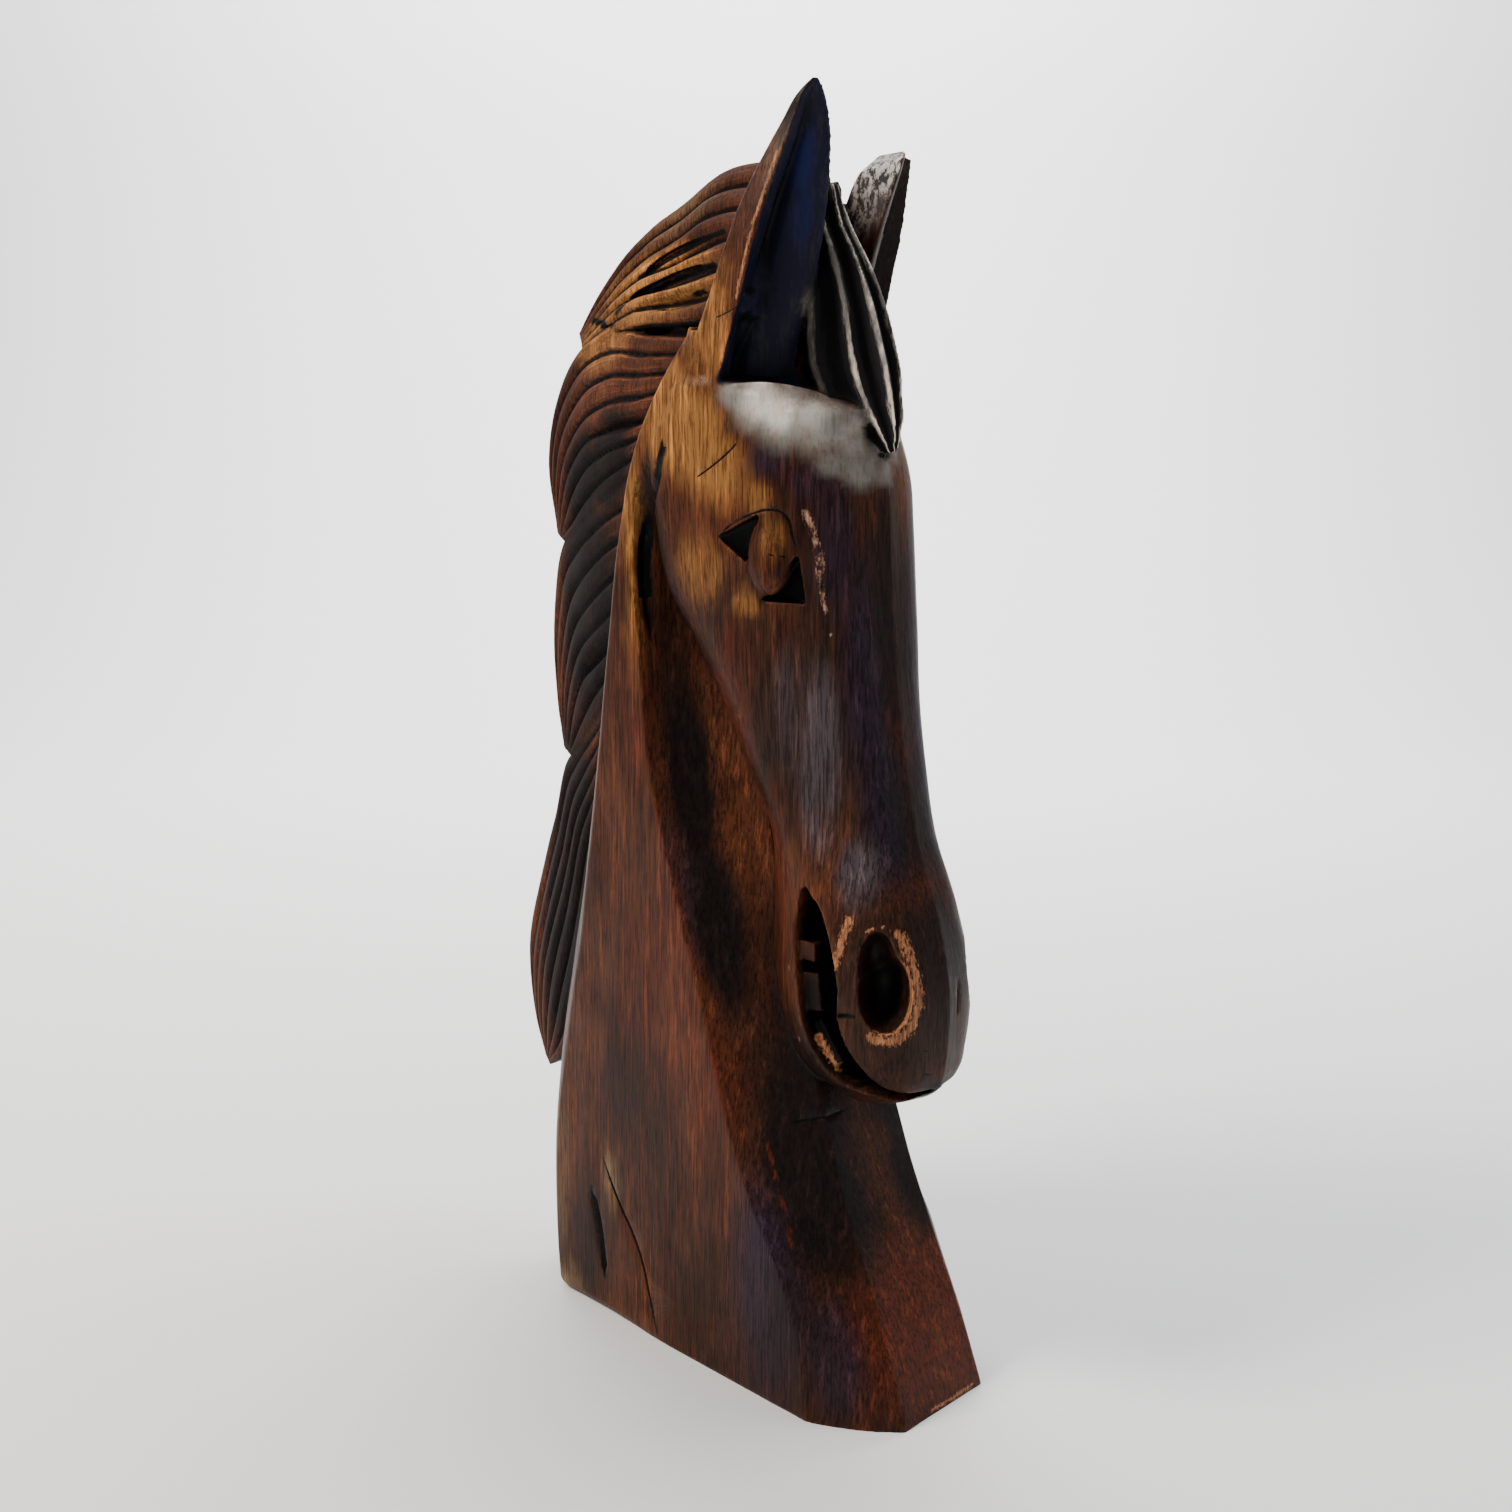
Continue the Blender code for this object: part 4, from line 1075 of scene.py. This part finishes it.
def hair_colour(n, colour, hair, across, lines, broken):
    """Painted black shade in cuts and over the forelock, painted grey highlights on its ridges and on the
    mane's worn edges.
    """
    place = n.math("FRACT", across)
    rough = n.less(lines, 0.5)
    is_forelock = n.math("GREATER_THAN", across, FORELOCK_START)
    mane_cut = n.ramp(n.plus(n.apart(place, 0.5), n.times(rough, 0.08)), 0.36, 0.45)
    from_ridge = n.plus(n.apart(place, RIDGE_PLACE), n.times(rough, 0.5))
    on_forelock = n.times(hair, is_forelock)
    # Painted shade: the forelock near black, but for its ridges
    colour = n.mix(on_forelock, colour, TONES["forelock"])
    # Painted highlights along the forelock's ridges, brighter on its right-hand strands
    bright = n.plus(n.times(n.ramp(across, *BRIGHT_STRANDS), 0.65), 0.35)
    crest = n.times(n.times(on_forelock, n.ramp(from_ridge, 0.15, 0.03)), bright)
    colour = n.mix(crest, colour, n.mix(n.ramp(broken, 0.4, 0.6), TONES["ridge"], TONES["bright ridge highlight"]))
    # Painted black shade in the cuts between strands
    cut = n.times(hair, n.blend(is_forelock, mane_cut, n.ramp(from_ridge, 0.22, 0.36)))
    colour = n.mix(n.times(cut, 0.95), colour, TONES["black"])
    # Worn wood with a painted highlight along one edge of each mane strand
    lit = n.ramp(n.plus(n.apart(place, LIT_EDGE), n.times(rough, 0.3)), 0.07, 0.02)
    lit = n.times(n.times(lit, hair), n.less(1.0, is_forelock))
    return n.mix(n.times(lit, n.ramp(broken, 0.42, 0.6)), colour, WORN_AND_LIT_HAIR, "MULTIPLY")


def dimmed(tone, shares):
    return tuple(value * share for value, share in zip(tone, shares))


def wood_material():
    material = bpy.data.materials.new("dark varnished wood")
    n = Nodes(material)
    shader = n.add("ShaderNodeBsdfPrincipled")
    n.link(shader.outputs[0], n.add("ShaderNodeOutputMaterial").inputs[0])
    hair, across, ear_shade = n.attribute("hair"), n.attribute("strand across"), n.attribute("ear_shade")
    on_block = n.add("ShaderNodeTexCoord").outputs["Object"]
    on_hair = n.add("ShaderNodeCombineXYZ")
    n.link(across, on_hair.inputs[0])
    n.link(n.attribute("strand along"), on_hair.inputs[1])
    cloudy = n.ramp(n.noise(on_block, "cloudy"), 0.3, 0.7)
    broken, fine = n.noise(on_block, "broken"), n.noise(on_block, "fine")
    lines = n.noise(on_hair.outputs[0], "hair")
    streaks = n.blend(hair, n.noise(on_block, "streaks"), lines)
    mottled = n.ramp(n.noise(on_block, "mottled"), 0.36, 0.62)
    hacked = n.ramp(n.noise(on_block, "hacked"), 0.46, 0.56)
    crumbs = n.less(n.noise(on_block, "crumbs"), 0.5)

    # The stain's tones, with light streaks and dark pores along the grain
    colour = n.mix(cloudy, TONES["stain"], TONES["light stain"])
    colour = n.mix(n.ramp(broken, 0.36, 0.6), colour, CLOUDED, "MULTIPLY")
    soft = n.plus(n.times(cloudy, 0.4), 0.8)
    torn = n.plus(n.times(n.ramp(broken, 0.32, 0.64), 0.8), 0.6)
    for zone in ("umber", "amber", "red", "tan", "purple shade", "purple sheen", "dark"):
        edge = soft if zone in SOFT_ZONES else torn
        colour = n.mix(n.math("MULTIPLY", n.attribute(zone), edge, True), colour, TONES[zone])
    colour = n.mix(n.times(n.ramp(streaks, 0.5, 0.66), 0.8), colour, STREAKED, "MULTIPLY")
    colour = n.mix(n.times(n.ramp(fine, 0.46, 0.6), 0.85), colour, PORES, "MULTIPLY")

    # Painted shade and blue reflection in the right ear, painted sheen and glare on the brow, and the left
    # ear's break
    in_ear = n.mix(n.ramp(streaks, 0.5, 0.62), TONES["ear_shade"], TONES["streaked ear_shade"])
    colour = n.mix(ear_shade, colour, in_ear)
    colour = n.mix(n.times(ear_shade, n.attribute("blue_reflection")), colour, TONES["blue_reflection"])
    for zone in ("grey sheen", "glare"):
        dull = dimmed(TONES[zone], MOTTLED)
        sheen = n.times(n.attribute(zone), n.less(1.0, n.times(n.ramp(fine, 0.5, 0.64), 0.25)))
        colour = n.mix(sheen, colour, n.mix(mottled, dull, TONES[zone]))
    colour = n.mix(n.attribute("hacked"), colour, n.mix(hacked, TONES["between hacks"], TONES["hacked"]))

    # Hair, worn edges, painted shade darkening the hollows, and painted black shade in all that is cut in
    colour = hair_colour(n, colour, hair, across, lines, broken)
    worn = n.times(n.attribute("ridge"), n.ramp(broken, 0.42, 0.58))
    colour = n.mix(n.times(worn, 0.7), colour, WORN_EDGE, "MULTIPLY")
    # Painted shade darkening the broad hollows
    colour = n.mix(n.times(n.attribute("hollow"), 0.9), colour, TONES["hollow"])
    # Painted black shade in the small cuts and inside the eye cuts, mouth and nostrils
    colour = n.mix(n.math("MAXIMUM", n.attribute("cut"), n.attribute("black")), colour, TONES["black"])

    # Thin marks, ragged where the surface broke, and missing in places
    for tone, ragged in MARK_TONES.items():
        covered = n.mark(tone, n.times(crumbs, ragged * 4))
        if tone in ("pale", "red"):
            covered = n.times(covered, n.ramp(mottled, 0.2, 0.7))
        grain = n.mix(n.ramp(fine, 0.4, 0.6), TONES[tone], dimmed(TONES[tone], PORE_SHADE))
        colour = n.mix(covered, colour, grain)
    n.link(colour, shader.inputs["Base Color"])
    gloss = n.plus(n.times(n.ramp(streaks, 0.3, 0.7), 0.2), 0.32)
    n.link(n.blend(hair, gloss, HAIR_ROUGHNESS), shader.inputs["Roughness"])
    shader.inputs["Specular IOR Level"].default_value = SPECULAR
    bump = n.add("ShaderNodeBump")
    bump.inputs["Strength"].default_value = BUMP
    bump.inputs["Distance"].default_value = BUMP_DEPTH
    n.link(n.plus(streaks, n.times(fine, 0.6)), bump.inputs["Height"])
    n.link(bump.outputs[0], shader.inputs["Normal"])
    return material


def lamp(name, place, aim, size, power, colour):
    data = bpy.data.lights.new(name, "AREA")
    data.shape = "RECTANGLE"
    data.size, data.size_y = size
    data.energy = power
    data.color = colour
    made = bpy.data.objects.new(name, data)
    made.location = place
    made.rotation_euler = (Vector(aim) - Vector(place)).to_track_quat("-Z", "Y").to_euler()
    bpy.context.scene.collection.objects.link(made)


horse = carved_block()
edges = read(horse.data, "edges")
points = evened(read(horse.data, "points"), edges)
for side in (1, -1):
    root = patch(points * (side, 1, 1), *EAR_ROOT)[:, None]
    points += (relaxed(points, edges, EAR_ROOT_ROUNDS) - points) * root
write_points(horse.data, points)
normals = read(horse.data, "normals")
points += normals * unevenness(points)[:, None] * UNIT
carve_lines(points, normals)
low, high = cad_box
points = worn_stern(np.clip(points, low, high))
points[points[:, 2] < FOOT_FLATNESS, 2] = 0
write_points(horse.data, points)

# How deep each point lies between its neighbours, read on the even mesh before it is thinned out
normals, edges = read(horse.data, "normals"), read(horse.data, "edges")
depths = {
    name: np.einsum("ij,ij->i", relaxed(points, edges, rounds) - points, normals) / UNIT * sign
    for name, (rounds, sign, _, _) in RELIEFS.items()
}
thin_out(horse, TRIANGLES)
even_points, points = points, read(horse.data, "points")
nearest, _ = nearest_of(even_points, points)
for name, (_, _, least, more) in RELIEFS.items():
    store(horse.data, name, np.clip((depths[name][nearest] - least) / more, 0, 1))

samples = np.concatenate(strand_points)
nearest, far = nearest_of(samples[:, :3] * UNIT, points)
store(horse.data, "strand across", samples[nearest, 3])
store(horse.data, "strand along", samples[nearest, 4])
store(horse.data, "hair", step_between(-far / UNIT, *HAIR_EDGE))

normals = read(horse.data, "normals")
for name, patches in ZONES.items():
    strength = np.zeros(len(points))
    for *place, most in patches:
        middle, radii = place[:3], place[3:]
        both = BOTH_SIDED[0] < middle[0] < BOTH_SIDED[1] and name not in AS_LISTED
        inward = step_between(-normals[:, 0], 0.4, 0.7) if name == "hacked" else 1  # the broken face alone
        for side in (1, -1) if both else (1,):
            strength = np.maximum(strength, most * patch(points * (side, 1, 1), middle, radii) * inward)
    store(horse.data, name, strength)
# Painted black shade inside the eye cuts, the mouth and the nostrils
folded = np.column_stack([np.abs(points[:, 0]), points[:, 1:]])
nostril = np.maximum(patch(folded, *INSIDE_NOSTRIL[0]), patch(folded, *INSIDE_NOSTRIL[1]))
black = np.maximum(in_eye_cuts(folded / UNIT), in_mouth(folded / UNIT))
store(horse.data, "black", np.maximum(black, nostril))
# The right ear's painted navy shade and the painted blue reflection in its hollow
store(horse.data, "ear_shade", ear_front(points / UNIT, normals))
blue_reflection = [most * patch(points, place[:3], place[3:]) for *place, most in BLUE_REFLECTION]
store(horse.data, "blue_reflection", np.maximum(*blue_reflection))
for tone in MARK_TONES:
    keep_marks(horse.data, points, normals, tone)
horse.data.shade_smooth()
horse.data.materials.clear()
horse.data.materials.append(wood_material())
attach(horse, "root")
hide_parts("horse_head")

# A pale floor that curves up behind the figure
FLOOR_NEAR, FLOOR_FAR, FLOOR_HALF, BEND, WALL_TOP = -3.0, 1.6, 6.0, 1.2, 5.0
profile = [(FLOOR_NEAR, 0.0), (FLOOR_FAR, 0.0)]
profile += [(FLOOR_FAR + np.sin(t) * BEND, BEND - np.cos(t) * BEND) for t in np.linspace(0.1, np.pi / 2, 16)]
profile += [(FLOOR_FAR + BEND, WALL_TOP)]
facing = np.array([0.7, 0.7]) / np.linalg.norm([0.7, 0.7])
aside = np.array([facing[1], -facing[0]])
corners = []
for run, rise in profile:
    for across in (-FLOOR_HALF, FLOOR_HALF):
        corners.append((*(facing * run + aside * across), rise))
floor_mesh = bpy.data.meshes.new("floor")
strips = [(2 * i, 2 * i + 1, 2 * i + 3, 2 * i + 2) for i in range(len(profile) - 1)]
floor_mesh.from_pydata(corners, [], strips)
floor_mesh.shade_smooth()
floor = bpy.data.objects.new("floor", floor_mesh)
bpy.context.scene.collection.objects.link(floor)
pale = bpy.data.materials.new("pale floor")
pale.use_nodes = True
matt = pale.node_tree.nodes["Principled BSDF"].inputs
matt["Base Color"].default_value = (0.88, 0.88, 0.88, 1)
matt["Roughness"].default_value = 0.9
floor_mesh.materials.append(pale)

lamp("left", (-1.15, 0.65, 1.75), (0, 0, 0.4), (0.6, 0.6), 42, (1.0, 0.94, 0.86))
lamp("above", (0.75, -0.45, 1.75), (0, -0.05, 0.45), (0.6, 0.6), 11, (0.92, 0.97, 1.0))
lamp("front right", (0.8, -1.6, 0.7), (0, 0, 0.35), (0.5, 1.4), 2.5, (0.8, 0.88, 1.0))
lamp("backdrop", (1.0, 1.0, 2.4), (2.2, 2.2, 0.6), (2.4, 1.2), 170, (1.0, 1.0, 1.0))
world = bpy.data.worlds.new("studio")
world.use_nodes = True
world.node_tree.nodes["Background"].inputs["Color"].default_value = (1, 1, 1, 1)
world.node_tree.nodes["Background"].inputs["Strength"].default_value = 0.28
bpy.context.scene.world = world

SENSOR, FOCAL_PIXELS, PHOTO_WIDTH = 36, 1600, 1512  # the focal length is solved from the photograph
camera = bpy.data.objects.new("camera", bpy.data.cameras.new("camera"))
camera.data.sensor_width = SENSOR
camera.data.lens = SENSOR * FOCAL_PIXELS / PHOTO_WIDTH
camera.location = (-0.5550, -0.5550, 0.4264)
camera.rotation_euler = Vector((0.70004, 0.69517, -0.16333)).to_track_quat("-Z", "Y").to_euler()
bpy.context.scene.collection.objects.link(camera)
bpy.context.scene.camera = camera
